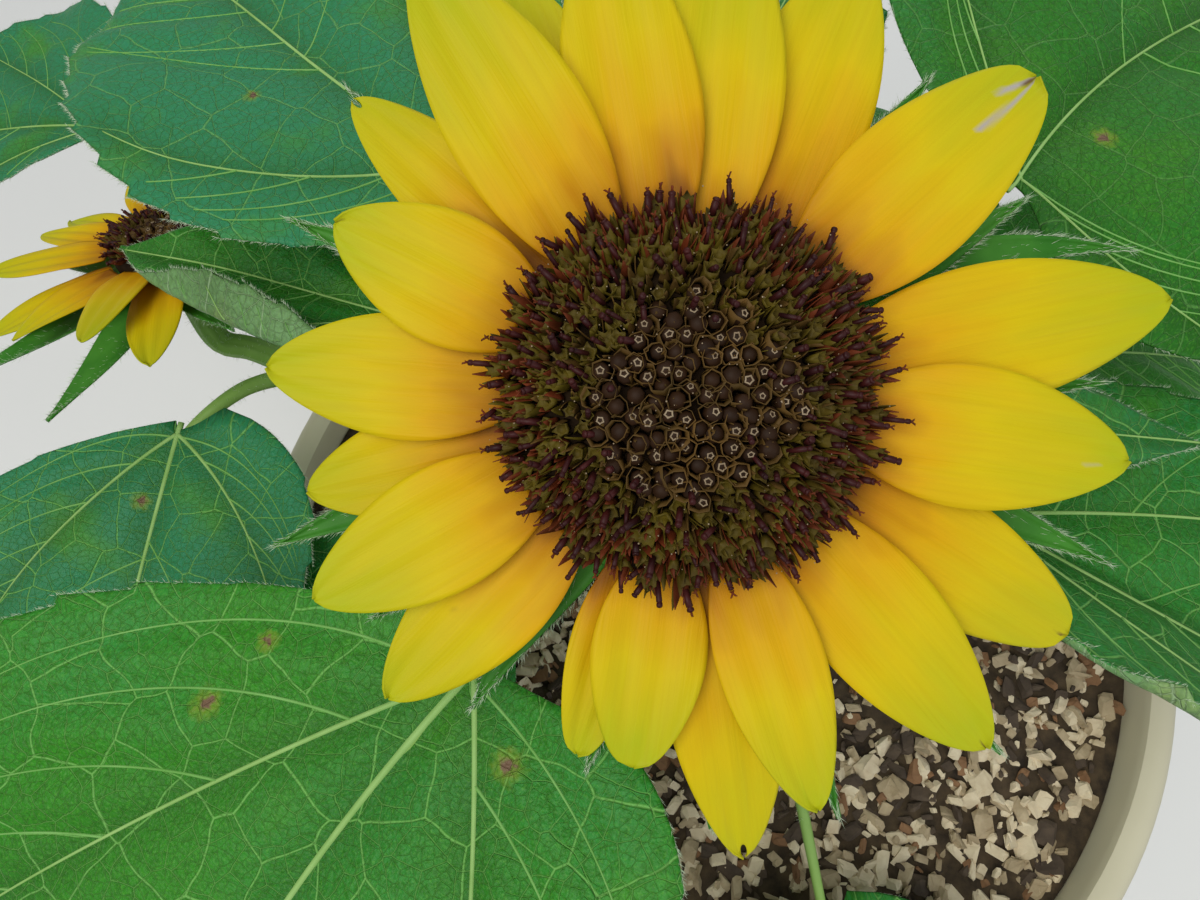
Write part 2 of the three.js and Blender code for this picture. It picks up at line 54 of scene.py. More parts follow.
LEAF_THICK = 0.55  # of a living blade; the solids are thicker
SOLID_LEAF_THICK = 1.75
LEAF_BASE_CURVE, LEAF_TIP_CURVE, LEAF_WIDEST, LEAF_WAVE = 2.2, 1.15, 0.32, 0.03
RIPPLE_HEIGHT, RIPPLE_LENGTH = 0.9, 5.2  # of the margin
TOOTH_DEPTH, TOOTH_PITCH, TOOTH_HOOK = 0.038, 9.5, 1.6
QUILT = dict(near_vein=3.5, low=0.7, high=1.1, near_strong=7)  # how the blade swells between its veins
PAINTED_SHADE_DEPTH, PAINTED_SHADE_REACH = 0.75, 4  # of the painted shade: darker green along the strong veins, where the blade dips between them
HEM_RADIUS = 1.1  # of the fold where a leaf's margin is rolled over its upper face
HEM_SLOPE = 0.25
MESH_STEP, HEM_MESH_STEP = 1.5, 0.75  # how finely blades are cut, and across where they are folded
STALK_RADIUS, STALK_TAPER = 2.7, 0.66
KNEE_CLIMB, KNEE_AT = 12, 0.55  # how much steeper a stalk starts, and where it bends
FULL_STALK, FULL_VEINS = 110, 95  # leaves below this length or width have thinner ones
RIB_AT = (0.05, 0.18, 0.34)  # where the stalk follows the midrib under the blade
RIB_DROP = 1.45
# Width of each vein: what shrinks with the leaf, what doesn't, and what is left at the end
VEIN_WIDTHS = dict(midrib=(1.45, 0.3, 0.45), lateral=(1.1, 0.25, 0.35), outer=(0.65, 0.15, 0.25),
                   inner=(0.55, 0.1, 0.2))
VEIN_STEP = 1.5
VEIN_REACH = 0.93  # of the half width, where veins end before the margin
OUTER_VEINS_AT = (0.03, 0.2, 0.42, 0.62, 0.8)  # along a strong lateral
INNER_VEINS = dict(count=6, first=0.3, step=0.105, offset=0.045)  # along the midrib
VEIN_NETS = ((8, 0.38), (17, 0.2), (50, 0.13))  # cells in 100 mm and width of the lines

# Where a head's petals and bracts start, how they rise and bend, and their folds
PETAL = dict(foot=0.7, back=-1.7, step=1.55, pitch=3, pitch_step=3.6, arch=13, cup=0.4, neck=0.17,
             fullness=0.75, fold=0.2, ripple=0.05, wave=0.5, notch=0.05, thick=0.3, columns=22, rows=44)
BRACT = dict(top=-4, inset=4, sink=1, drop=1.6, pitch=-7, pitch_step=4, curl=13, cup=0.7, taper=0.85,
             thick=0.5, columns=8, rows=22)
BRACT_SWING = {18: 6.5}  # how far the bract in this direction bows to the side
CUP_OVERHANG = 2.5
CUP_LID = BRACT["top"] + 0.9
SEED_TURN = math.radians(137.508)  # between one floret and the next
FACE_TILT = 23

HAIR_RADIUS = 0.06
STALK_HAIRS, MARGIN_HAIRS, BRACT_HAIRS = 4, 16, 8  # on each millimetre
# How florets stand, and which of them are buds or have collars, rods and forked styles
DISK = dict(margin=3, jitter=0.14, tilt=3, outer_tilt=38, sway=0.06, bud_until=0.52, rods_from=0.4,
            collared=0.85, forked=0.6, forked_from=0.7, pollen=0.9)
LENS, SENSOR, LOOK_TILT = 26, 36, 22  # the camera's lens, and its tilt in degrees off straight down

# What a leaf has unless it says otherwise
USUAL_LEAF = dict(turn=0, roll=0, fold=7, base=0.03, round=2, lobe=0.06, left={}, hem=0, hem_start=0.8,
                  lean=0, spread=(32, 32), bow=(10, 10), vein=1, dark=0)
# cool is how much painted bluish sky reflection lies over each leaf
LEAVES = [
    dict(name="leaf_front_left", at=338, toward=235, rise=22, stalk=80, turn=1, length=180, width=158,
         slope=-10, bend=26, roll=-4, fold=5, base=0.12, round=1, lobe=0.02, cool=0.05,
         left=dict(width=116, base=0.03, round=4), lean=11, spread=(36, 38), bow=(14, 20)),
    dict(name="leaf_back_left", at=330, toward=145, rise=33, stalk=78, turn=-10, length=144, width=106,
         slope=2, bend=28, cool=0.95, lean=-9, spread=(30, 62), bow=(12, 72), vein=0.65),
    dict(name="leaf_back_right", at=350, toward=27, rise=25, stalk=76, turn=13, length=146, width=138,
         slope=1, bend=26, roll=-6, round=2.8, lobe=0.1, cool=0.15, dark=0.4,
         left=dict(round=2, lobe=0.02), lean=-15, spread=(84, 62), bow=(24, 10), vein=0.36),
    dict(name="leaf_front_right", at=325, toward=324, rise=29, stalk=66, turn=10, length=116, width=84,
         slope=-4, bend=22, roll=22, fold=22, cool=0.3, hem=1, hem_start=0.9,
         lean=14, spread=(34, 28), bow=(16, 14)),
    dict(name="leaf_curled", at=324, toward=168, rise=18, stalk=75, turn=-5, length=75, width=40,
         slope=3, bend=12, roll=-6, fold=18, cool=0.15, hem=-1, hem_start=0.62, left=dict(width=54)),
    dict(name="leaf_small", at=362, toward=344, rise=24, stalk=43, turn=14, length=60, width=20,
         slope=-2, bend=12, roll=6, fold=10, cool=0.6),
    dict(name="leaf_low_right", at=292, toward=12, rise=24, stalk=66, length=112, width=92,
         slope=-4, bend=34, cool=0.1),
    dict(name="leaf_low_front", at=258, toward=281, rise=1, stalk=124, length=104, width=88,
         slope=6, bend=36, cool=0.2),
    dict(name="leaf_back", at=312, toward=92, rise=26, stalk=74, length=118, width=98,
         slope=2, bend=32, cool=0.5),
    dict(name="leaf_low_back", at=272, toward=62, rise=16, stalk=78, length=104, width=86,
         slope=0, bend=40, cool=0.2),
    dict(name="leaf_low_left", at=274, toward=212, rise=10, stalk=82, length=104, width=86,
         slope=0, bend=36, cool=0.3),
]
SIDE_LEAVES = [
    dict(name="side_leaf_front", at=287, toward=222, rise=20, stalk=39, turn=38, length=108, width=94,
         slope=-8, bend=20, round=1, lobe=0.02, cool=0.9, left=dict(round=2.5, lobe=0.07),
         spread=(42, 56), bow=(30, 40)),
    dict(name="side_leaf_left", at=275, toward=240, rise=-14, stalk=50, turn=-10, length=78, width=60,
         slope=-6, bend=34, cool=0.3),
    dict(name="side_leaf_back", at=290, toward=130, rise=9, stalk=98, turn=40, length=98, width=100,
         slope=-8, bend=22, cool=1, left=dict(width=48, round=1, lobe=0.02), vein=0.5),
]
LEAF_OF = {leaf["name"]: leaf for leaf in LEAVES + SIDE_LEAVES}
for leaf in LEAF_OF.values():
    leaf.update({**USUAL_LEAF, **leaf})

# Brown spots with a yellow edge: the leaf, where they lie on it when flat, and their size
SPOTS = [("leaf_front_left", 36, 33, 1.5), ("leaf_front_left", 33, 19, 1.1),
         ("leaf_front_left", -14, 11, 1.6), ("leaf_front_left", 12, 72, 1.2),
         ("leaf_front_left", -22, 60, 1.0), ("leaf_back_left", -20, 44, 1.0),
         ("leaf_back_left", 24, 66, 1.2), ("leaf_low_right", 14, 50, 1.3), ("side_leaf_front", 4, 21, 1.4)]


def unit(v):
    return v / np.linalg.norm(v, axis=-1, keepdims=True)


def heading(toward, climb=0.0):
    """The way to a bearing round the plant, at a climb above the level, both in degrees."""
    a, c = math.radians(toward), math.radians(climb)
    return np.array([math.cos(a) * math.cos(c), math.sin(a) * math.cos(c), math.sin(c)])


MAIN_HEAD = dict(name="head", centre=np.array([-23.0, -14, 404]), facing=heading(-90, 90 - FACE_TILT),
                 disk=25.5, brim=28.6, wall=6.65, dome=10, bed_drop=3.4, florets=330,
                 cup=16, bract=12, sides=96)
SIDE_HEAD = dict(name="side_head", centre=np.array([-150.0, 67, 327]),
                 facing=unit(np.array([-0.14, 0.36, 0.92])),
                 disk=13.5, brim=15, wall=5.15, dome=5.5, bed_drop=2.4, florets=110,
                 cup=11, bract=17, sides=64)

# Direction, reach, width, layer
MAIN_PETALS = [
    (11.4, 72, 20.5, 1), (42.4, 66, 21, 2), (68, 71, 21, 0), (84, 70, 19, 1), (100.5, 68, 19.5, 2),
    (112, 67, 16, 0), (122.5, 69, 20, 3), (138, 66.5, 15, 0), (154, 55.5, 19, 2), (176, 61, 18.5, 1),
    (194, 58, 16, 0), (208.8, 60.5, 18, 2), (225.5, 62, 17.5, 1), (253.5, 56, 12, 0), (262, 55, 17, 1),
    (277.8, 70.5, 18, 0), (287.5, 62, 15.5, 2), (310.6, 68, 19, 1), (328.5, 68.5, 19, 0),
    (351.6, 63, 20.5, 2),
]
SIDE_PETALS = [(24 * i + 5 * math.sin(i * 2.4), 45 * (1 + 0.06 * math.cos(i * 2.1)),
                13 * (1 + 0.08 * math.sin(i * 1.7)), i % 3) for i in range(15)]
# Petal, kind of mark, two ends of the streak as (across, along), and its width
STREAKS = [
    (1, "bruise", (0.02, 0.73), (0.1, 0.97), 0.05), (1, "bruise", (-0.3, 0.88), (-0.1, 0.98), 0.07),
    (1, "brown", (-0.1, 0.965), (0.0, 0.98), 0.08), (19, "bruise", (0.3, 0.84), (0.3, 0.9), 0.025),
    (8, "brown", (0.5, 0.99), (0.5, 1.0), 0.06), (17, "brown", (0.0, 0.99), (0.1, 1.0), 0.06),
    (18, "brown", (0.2, 0.97), (0.3, 0.98), 0.04), (12, "brown", (0.3, 0.55), (0.32, 0.6), 0.025),
]
# Direction and reach
MAIN_BRACTS = [
    (2, 64), (18, 75), (30, 60), (52, 63), (78, 70), (99, 66), (119, 73), (137, 71), (155.6, 65),
    (177, 60), (200, 66), (215.6, 59), (236, 57), (256, 60), (274, 66), (291, 71), (312, 73), (339, 73),
]
SIDE_BRACTS = [(5, 40), (45, 44), (90, 40), (130, 46), (170, 42), (201, 48), (228, 58), (257, 56), (310, 44)]

MAIN_FOOT = np.array([2.0, 22, MIX["crown"] - 3])
MAIN_STEM = dict(through=[MAIN_FOOT, (0, 23, 262), (-6, 20, 310), (-16, 11, 348)],
                 foot=9.5, thick=6.2, thin=4.6)
SIDE_STEM = dict(start=258, through=[(-48, 32, 266), (-100, 43, 276), (-137, 54, 294)],
                 foot=4.8, thick=4, thin=3.3)


# Shapes by hand
def deselect():
    if bpy.context.object and bpy.context.object.mode != "OBJECT":
        bpy.ops.object.mode_set(mode="OBJECT")
    bpy.ops.object.select_all(action="DESELECT")


def choose(piece):
    deselect()
    piece.select_set(True)
    bpy.context.view_layer.objects.active = piece


def shape_of(thing):
    """The points and faces of an object, which is then removed."""
    mesh = thing.data
    points = np.empty(len(mesh.vertices) * 3)
    mesh.vertices.foreach_get("co", points)
    faces = [tuple(face.vertices) for face in mesh.polygons]
    bpy.data.objects.remove(thing)
    bpy.data.meshes.remove(mesh)
    return points.reshape(-1, 3), faces


def shaped(primitive, edit=None, **settings):
    """A primitive, shaped in edit mode, as points and faces."""
    deselect()
    primitive(**settings)
    thing = bpy.context.active_object
    if edit:
        bpy.ops.object.mode_set(mode="EDIT")
        edit(thing)
        bpy.ops.object.mode_set(mode="OBJECT")
    return shape_of(thing)


def select(thing, kind, wanted):
    """Selects the wanted faces or edges, in edit mode."""
    bpy.ops.mesh.select_all(action="DESELECT")
    edit = bmesh.from_edit_mesh(thing.data)
    for element in getattr(edit, kind):
        element.select = wanted(element)
    bmesh.update_edit_mesh(thing.data)


def move_points(thing, place):
    """Moves each vertex to place(x, y, z), in edit mode."""
    edit = bmesh.from_edit_mesh(thing.data)
    for vertex in edit.verts:
        vertex.co = place(*vertex.co)
    bmesh.update_edit_mesh(thing.data)


def sheet_shape(columns, rows):
    """A flat grid from -1 to 1 across and 0 to 1 along."""
    points, faces = shaped(bpy.ops.mesh.primitive_grid_add, x_subdivisions=columns, y_subdivisions=rows,
                           size=2)
    return points[:, 0], (points[:, 1] + 1) / 2, faces


def bar_shape(sides, rings):
    """A closed round bar of radius 1 from 0 to 1 along z, cut into rings."""
    def cut(bar):
        select(bar, "edges", lambda edge: abs(edge.verts[0].co.z - edge.verts[1].co.z) > 0.5)
        bpy.ops.mesh.subdivide(number_cuts=rings - 1)
    points, faces = shaped(bpy.ops.mesh.primitive_cylinder_add, cut, vertices=sides, radius=1, depth=1)
    return points + (0, 0, 0.5), faces


def turned(name, profile, sides):
    """A closed body of revolution: a ring is extruded and scaled along a profile from axis to axis."""
    deselect()
    radius, height = profile[1]
    bpy.ops.mesh.primitive_circle_add(vertices=sides, radius=radius * MM, fill_type="NGON",
                                      location=(0, 0, height * MM))
    body = bpy.context.active_object
    body.name = name
    bpy.ops.object.transform_apply(location=True)
    bpy.ops.object.mode_set(mode="EDIT")
    bpy.ops.mesh.select_all(action="SELECT")
    for next_radius, next_height in profile[2:-1]:
        rise = (next_height - height) * MM
        bpy.ops.mesh.extrude_region_move(TRANSFORM_OT_translate={"value": (0, 0, rise)})
        scale = next_radius / radius
        bpy.ops.transform.resize(value=(scale, scale, 1), center_override=(0, 0, next_height * MM))
        radius, height = next_radius, next_height
    bpy.ops.mesh.poke()
    bpy.ops.mesh.select_all(action="SELECT")
    bpy.ops.mesh.normals_make_consistent(inside=False)
    bpy.ops.object.mode_set(mode="OBJECT")
    return body


def turned_shape(profile, sides):
    points, faces = shape_of(turned("turned", profile, sides))
    return points / MM, faces


def apply(piece, kind, **settings):
    """Adds a modifier with these settings and applies it."""
    choose(piece)
    modifier = piece.modifiers.new(kind.title(), kind)
    for key, value in settings.items():
        setattr(modifier, key, value)
    bpy.ops.object.modifier_apply(modifier=modifier.name)


def finish_piece(piece, nodes=()):
    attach(piece, "root")
    if nodes:
        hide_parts(*nodes)
    return piece


def joined(parts):
    """Several parts, each a pair of points and faces, as one."""
    faces, offset = [], 0
    for points, part_faces in parts:
        faces += [tuple(i + offset for i in face) for face in part_faces]
        offset += len(points)
    return np.vstack([points for points, _ in parts]), faces


def make_piece(name, parts, materials, nodes=(), uv=None, marks=None):
    """Joins parts into one smooth piece. Marks are numbers on its points that a finish reads by name."""
    points, faces = joined(parts)
    mesh = bpy.data.meshes.new(name)
    mesh.from_pydata((points * MM).tolist(), [], faces)
    mesh.polygons.foreach_set("use_smooth", np.ones(len(mesh.polygons), bool))
    if uv is not None:
        corners = np.empty(len(mesh.loops), int)
        mesh.loops.foreach_get("vertex_index", corners)
        mesh.uv_layers.new(name="Flat").data.foreach_set("uv", np.asarray(uv)[corners].ravel())
    for key, values in (marks or {}).items():
        mesh.attributes.new(key, "FLOAT", "POINT").data.foreach_set("value", values)
    for material in materials:
        mesh.materials.append(material)
    piece = bpy.data.objects.new(name, mesh)
    bpy.context.collection.objects.link(piece)
    return finish_piece(piece, nodes)


def copies(shape, origins, x_axes, y_axes, z_axes):
    """One part from a copy of a shape at each origin, with its own three axes, which also give its size."""
    points, faces = shape
    placed = origins[:, None] + sum(points[None, :, k:k + 1] * axes[:, None]
                                    for k, axes in enumerate((x_axes, y_axes, z_axes)))
    starts = range(0, len(origins) * len(points), len(points))
    return placed.reshape(-1, 3), [tuple(k + start for k in face) for start in starts for face in faces]


def axes_along(directions, spin):
    """Two unit axes square to each direction, turned about it by spin."""
    aside = np.where(np.abs(directions[:, 2:]) < 0.9, UP, (1.0, 0, 0))
    first = unit(np.cross(directions, aside))
    second = np.cross(directions, first)
    c, s = np.cos(spin)[:, None], np.sin(spin)[:, None]
    return first * c + second * s, second * c - first * s


# Lines and stems
def rows_at(rows, places, wanted):
    return np.column_stack([np.interp(wanted, places, rows[:, k]) for k in range(rows.shape[1])])


def smooth_line(points, count=240):
    """Even points along a centripetal Catmull-Rom curve."""
    p = np.array(points, float)
    p = np.vstack([2 * p[0] - p[1], p, 2 * p[-1] - p[-2]])
    t = np.linspace(0, 1, 60, endpoint=False)[:, None]
    path = []
    for a, b, c, d in zip(p, p[1:], p[2:], p[3:]):
        ab, bc, cd = (np.linalg.norm(step) ** 0.5 for step in (b - a, c - b, d - c))
        leave = ((b - a) / ab - (c - a) / (ab + bc) + (c - b) / bc) * bc
        arrive = ((c - b) / bc - (d - b) / (bc + cd) + (d - c) / cd) * bc
        square, cube = 3 * (c - b) - 2 * leave - arrive, 2 * (b - c) + leave + arrive
        path.append(b + leave * t + square * t**2 + cube * t**3)
    path = np.vstack([*path, p[-2:-1]])
    walked = np.concatenate([[0], np.cumsum(np.linalg.norm(np.diff(path, axis=0), axis=1))])
    return rows_at(path, walked, np.linspace(0, walked[-1], count))


def round_line(line, share, angle):
    """Places along a line, and the directions square to it that turn as little as they can."""
    tangents = unit(np.gradient(line, axis=0))
    first = np.cross(tangents[0], (0.3, 1, 0.2))
    firsts = []
    for tangent in tangents:
        first = unit(first - tangent * (first @ tangent))
        firsts.append(first)
    firsts = np.array(firsts)
    places = np.linspace(0, 1, len(line))
    one, other = (rows_at(rows, places, share) for rows in (firsts, np.cross(tangents, firsts)))
    return rows_at(line, places, share), one * np.cos(angle)[:, None] + other * np.sin(angle)[:, None]


def tube(shape, line, radius_at):
    """A bar shape laid along a line, with radius_at(share, angle)."""
    points, faces = shape
    share = points[:, 2]
    angle = np.arctan2(points[:, 1], points[:, 0])
    size = np.hypot(points[:, 0], points[:, 1]) * radius_at(share, angle)
    middle, out = round_line(line, share, angle)
    return middle + out * size[:, None], faces


all_hairs = {"leaf": [], "stem": [], "bract": []}


def add_stem_hairs(line, radius_at, count, length, start, end):
    """Roots, directions and lengths of hairs that stand out of a stem."""
    share = chance.uniform(start, end, count)
    angle = chance.uniform(0, 2 * math.pi, count)
    middle, out = round_line(line, share, angle)
    out = unit(out)
    roots = middle + out * (radius_at(share, angle) * 0.97)[:, None]
    directions = unit(out + chance.normal(0, 0.35, (count, 3)))
    all_hairs["stem"].append((roots, directions, length * chance.uniform(0.45, 1.2, count)))


def point_at_height(line, height):
    return rows_at(line, line[:, 2], np.array([height]))[0]


def stem_radius(sizes):
    def radius_at(share, angle=0.0):
        flare = (sizes["foot"] - sizes["thick"]) * np.exp(-share * 14)
        narrowing = (sizes["thick"] - sizes["thin"]) * share
        collar = 1.6 * np.exp(-(1 - share) * 22)
        ribs = 1 + 0.035 * np.cos(9 * angle) + 0.012 * np.cos(23 * angle + 1)
        return (sizes["thick"] + flare - narrowing + collar) * ribs
    return radius_at


def under_head(head):
    return [head["centre"] - head["facing"] * depth for depth in (head["cup"] + 22, head["cup"] + 0.48)]


main_line = smooth_line([*MAIN_STEM["through"], *under_head(MAIN_HEAD)])
side_line = smooth_line([point_at_height(main_line, SIDE_STEM["start"]), *SIDE_STEM["through"],
                         *under_head(SIDE_HEAD)])


# Finishes
class Finish:
    """A material that is put together node by node."""

    def __init__(self, name, roughness, specular=0.5):
        self.material = bpy.data.materials.new(name)
        self.material.use_nodes = True
        self.tree = self.material.node_tree
        self.shader = self.tree.nodes["Principled BSDF"]
        self.shader.inputs["Roughness"].default_value = roughness
        self.shader.inputs["Specular IOR Level"].default_value = specular

    def add(self, kind, inputs, **settings):
        """A new node, with its settings and with its inputs linked or given their values."""
        made = self.tree.nodes.new("ShaderNode" + kind)
        for key, value in settings.items():
            setattr(made, key, value)
        for key, value in inputs.items():
            if isinstance(value, bpy.types.NodeSocket):
                self.tree.links.new(value, made.inputs[key])
            else:
                made.inputs[key].default_value = value
        return made

    def place(self, kind="Object"):
        return self.add("TexCoord", {}).outputs[kind]

    def mark(self, name):
        return self.add("Attribute", {}, attribute_name=name).outputs["Fac"]

    def maths(self, operation, one, other, **settings):
        return self.add("Math", {0: one, 1: other}, operation=operation, **settings).outputs[0]

    def times(self, one, other):
        return self.maths("MULTIPLY", one, other)

    def vectors(self, operation, one, other, output="Vector"):
        return self.add("VectorMath", {0: one, 1: other}, operation=operation).outputs[output]

    def stretched(self, vector, scale):
        return self.add("Mapping", {"Vector": vector, "Scale": scale}).outputs[0]

    def noise(self, vector, scale, detail=3, rough=0.5, output=0):
        inputs = {"Vector": vector, "Scale": scale, "Detail": detail, "Roughness": rough}
        return self.add("TexNoise", inputs).outputs[output]

    def ramp(self, value, *stops):
        made = self.add("ValToRGB", {"Fac": value})
        elements = made.color_ramp.elements
        while len(elements) < len(stops):
            elements.new(0.5)
        for element, (position, colour) in zip(elements, stops):
            element.position = position
            element.color = (*colour, 1) if isinstance(colour, tuple) else (colour, colour, colour, 1)
        return made.outputs["Color"]

    def mixed(self, share, one, other):
        one, other = ((*colour, 1) if isinstance(colour, tuple) else colour for colour in (one, other))
        return self.add("Mix", {0: share, 6: one, 7: other}, data_type="RGBA").outputs[2]

    def wobbled(self, flat, scale, reach):
        """Flat places, each moved a little, so that lines and rims aren't too even."""
        cloud = self.noise(flat, scale, 2, output="Color")
        return self.vectors("ADD", flat, self.vectors("MULTIPLY", cloud, (reach,) * 3))

    def net_lines(self, flat, cells, width):
        """Thin lines of a vein net with this many cells in 100 mm, the lines this many millimetres wide."""
        inputs = {"Vector": self.wobbled(flat, cells * 0.8, 0.4 / cells), "Scale": cells, "Randomness": 0.85}
        edges = self.add("TexVoronoi", inputs, feature="DISTANCE_TO_EDGE", voronoi_dimensions="2D")
        half = width / 200 * cells
        return self.ramp(edges.outputs["Distance"], (0.0, 1.0), (half * 0.6, 0.8), (half * 1.5, 0.0))

    def spotted(self, flat, ground):
        """Paints the spots over a leaf's green: a yellow edge and a brown middle."""
        moved = self.wobbled(flat, 90, 0.03)
        for name, x, y, size in SPOTS:
            u, v = uv_shift(LEAF_OF[name])
            centre = (u + (x + 1.5) / 100, v + (y + 1.5) / 100, 0.015)
            reach = self.times(self.vectors("DISTANCE", moved, centre, "Value"), 25 / size)
            ground = self.mixed(self.ramp(reach, (0.2, 0.75), (0.55, 0.0)), ground, (0.2, 0.3, 0.02))
            ground = self.mixed(self.ramp(reach, (0.12, 0.95), (0.26, 0.0)), ground, (0.17, 0.09, 0.06))
        return ground

    def paint(self, colour, height, depth, strength):
        """Gives the shader its colour, and a relief of this depth in metres."""
        self.tree.links.new(colour, self.shader.inputs["Base Color"])
        bump = self.add("Bump", {"Height": height, "Distance": depth, "Strength": strength})
        self.tree.links.new(bump.outputs[0], self.shader.inputs["Normal"])
        return self.material


def uv_shift(leaf):
    """Where a leaf's flat places start in its UV map, so that no two leaves share a pattern."""
    return leaf["at"] % 7 * 2, leaf["toward"] % 5 * 2


def tinted(colour, red, green, blue):
    return colour[0] * red, colour[1] * green, colour[2] * blue


def leaf_finish(name, warm, cool, vein, net):
    """One face of a leaf: blotched green with a painted bluish sky reflection and painted shade along the
    strong veins, three nets of fine veins, flecks, and a few spots.
    """
    finish = Finish(name, 0.48, specular=0.28)
    maths, times, noise, ramp, mixed = finish.maths, finish.times, finish.noise, finish.ramp, finish.mixed
    flat, spot, painted_sheen_share = finish.place("UV"), finish.place(), finish.mark("cool")
    coarse, middle, fine = (finish.net_lines(flat, *sizes) for sizes in VEIN_NETS)
    # painted sky reflection: bluish-green patches, and whole leaves by their cool share
    patches = times(ramp(noise(spot, 24), (0.42, 0.0), (0.62, 1.0)), 0.22)
    ground = mixed(maths("ADD", patches, painted_sheen_share, use_clamp=True), warm, cool)
    yellowed = ramp(noise(spot, 48), (0.55, 0.0), (0.7, 0.6))
    ground = mixed(yellowed, ground, tinted(warm, 2.8, 1.3, 1))
    # less mottle and fewer flecks where the painted sky reflection lies
    calm = maths("SUBTRACT", 1.0, times(painted_sheen_share, 0.65))
    mottle = ramp(noise(flat, 70, 4, 0.7), (0.42, 0.0), (0.6, 0.8))
    ground = mixed(times(mottle, calm), ground, tinted(warm, 0.6, 0.6, 0.6))
    # painted shade: darker green along the strong veins, where the blade dips between them
    ground = mixed(times(finish.mark("valley"), 0.8), ground, tinted(warm, 0.36, 0.36, 0.36))
    flecks = ramp(noise(flat, 190, 3, 0.7), (0.52, 0.0), (0.66, 0.35))
    ground = mixed(times(flecks, calm), ground, tinted(vein, 0.6, 0.8, 0.25))
    for lines, share in ((fine, 0.5), (middle, 1), (coarse, 1.4)):
        ground = mixed(times(times(lines, net * share), finish.mark("net")), ground, vein)
    height = maths("ADD", times(maths("ADD", coarse, middle), -0.6), times(fine, -0.4))
    height = maths("ADD", height, times(noise(flat, 130), 0.8))
    return finish.paint(finish.spotted(flat, ground), height, 0.0006, 0.8)


def plain_finish(name, one, other, scale, roughness, specular=0.5, depth=0.0002):
    """Two colours clouded into each other, with a fine grain."""
    finish = Finish(name, roughness, specular)
    spot = finish.place()
    clouds = finish.ramp(finish.noise(spot, scale, 4, 0.6), (0.3, 0.0), (0.7, 1.0))
    return finish.paint(finish.mixed(clouds, one, other), finish.noise(spot, scale * 3), depth, 0.5)


def petal_finish():
    """Orange at the foot, clear yellow in the middle and greener at the tip, with fine lengthwise ridges."""
    finish = Finish("petal_yellow", 0.5, specular=0.12)
    flat = finish.place("UV")
    ridges = finish.noise(finish.stretched(flat, (150, 5, 1)), 1, 2, 0.55)
    clouds = finish.noise(finish.stretched(flat, (16, 6, 1)), 1, 2)
    drift = finish.times(finish.maths("SUBTRACT", clouds, 0.5), 0.45)
    ground = finish.ramp(finish.maths("ADD", finish.mark("along"), drift), (0.0, (0.26, 0.085, 0.002)),
                         (0.1, (0.52, 0.22, 0.002)), (0.28, (0.68, 0.38, 0.002)),
                         (0.55, (0.64, 0.48, 0.003)), (1.0, (0.43, 0.46, 0.008)))
    ground = finish.mixed(finish.ramp(ridges, (0.3, 0.13), (0.62, 0.0)), ground, (0.42, 0.26, 0.003))
    ground = finish.mixed(finish.mark("bruise"), ground, (0.4, 0.36, 0.4))
    ground = finish.mixed(finish.mark("brown"), ground, (0.12, 0.06, 0.02))
    return finish.paint(ground, ridges, 0.0003, 0.35)


# the third colour of each face is its painted bluish sky reflection
LEAF_TOP = leaf_finish("leaf_upper_face", (0.028, 0.24, 0.002), (0.026, 0.235, 0.105), (0.2, 0.5, 0.11), 0.55)
LEAF_BACK = leaf_finish("leaf_under_face", (0.16, 0.33, 0.1), (0.18, 0.36, 0.17), (0.36, 0.52, 0.28), 0.5)
VEIN = plain_finish("leaf_vein", (0.22, 0.42, 0.1), (0.34, 0.55, 0.18), 90, 0.5, 0.2)
FINE_VEIN = plain_finish("fine_leaf_vein", (0.14, 0.37, 0.07), (0.22, 0.47, 0.13), 90, 0.5, 0.2)
STALK = plain_finish("leaf_stalk", (0.17, 0.34, 0.05), (0.28, 0.46, 0.12), 50, 0.5, 0.25)
STEM = plain_finish("stem_skin", (0.1, 0.24, 0.03), (0.22, 0.4, 0.08), 45, 0.55, 0.25)
HAIR = plain_finish("plant_hair", (0.5, 0.66, 0.42), (0.7, 0.8, 0.6), 50, 0.5)
BRACT_GREEN = plain_finish("bract_green", (0.025, 0.16, 0.012), (0.07, 0.27, 0.03), 60, 0.55, 0.2)
PETAL_YELLOW = petal_finish()
FLORET_BED = plain_finish("floret_bed", (0.012, 0.006, 0.003), (0.026, 0.014, 0.005), 300, 0.8, 0.1)
FLORET_TUBE = plain_finish("floret_tube", (0.12, 0.09, 0.007), (0.055, 0.035, 0.006), 140, 0.6, 0.15)
CHAFF_RED = plain_finish("floret_chaff_red", (0.16, 0.03, 0.009), (0.08, 0.022, 0.007), 140, 0.6, 0.15)
CHAFF_BROWN = plain_finish("floret_chaff_brown", (0.14, 0.075, 0.018), (0.055, 0.033, 0.008), 140, 0.6, 0.15)
ANTHER = plain_finish("floret_anther", (0.018, 0.003, 0.004), (0.055, 0.008, 0.007), 180, 0.5, 0.2)
BUD = plain_finish("floret_bud", (0.015, 0.007, 0.003), (0.034, 0.014, 0.005), 140, 0.6, 0.15)
BUD_RING = plain_finish("floret_bud_ring", (0.2, 0.14, 0.08), (0.4, 0.31, 0.2), 300, 0.5, 0.3)
POT_BEIGE = plain_finish("pot_beige", (0.6, 0.56, 0.39), (0.66, 0.62, 0.45), 14, 0.55, depth=0.0001)
MIX_DARK = plain_finish("mix_dark", (0.02, 0.013, 0.007), (0.09, 0.06, 0.03), 160, 0.95, depth=0.001)
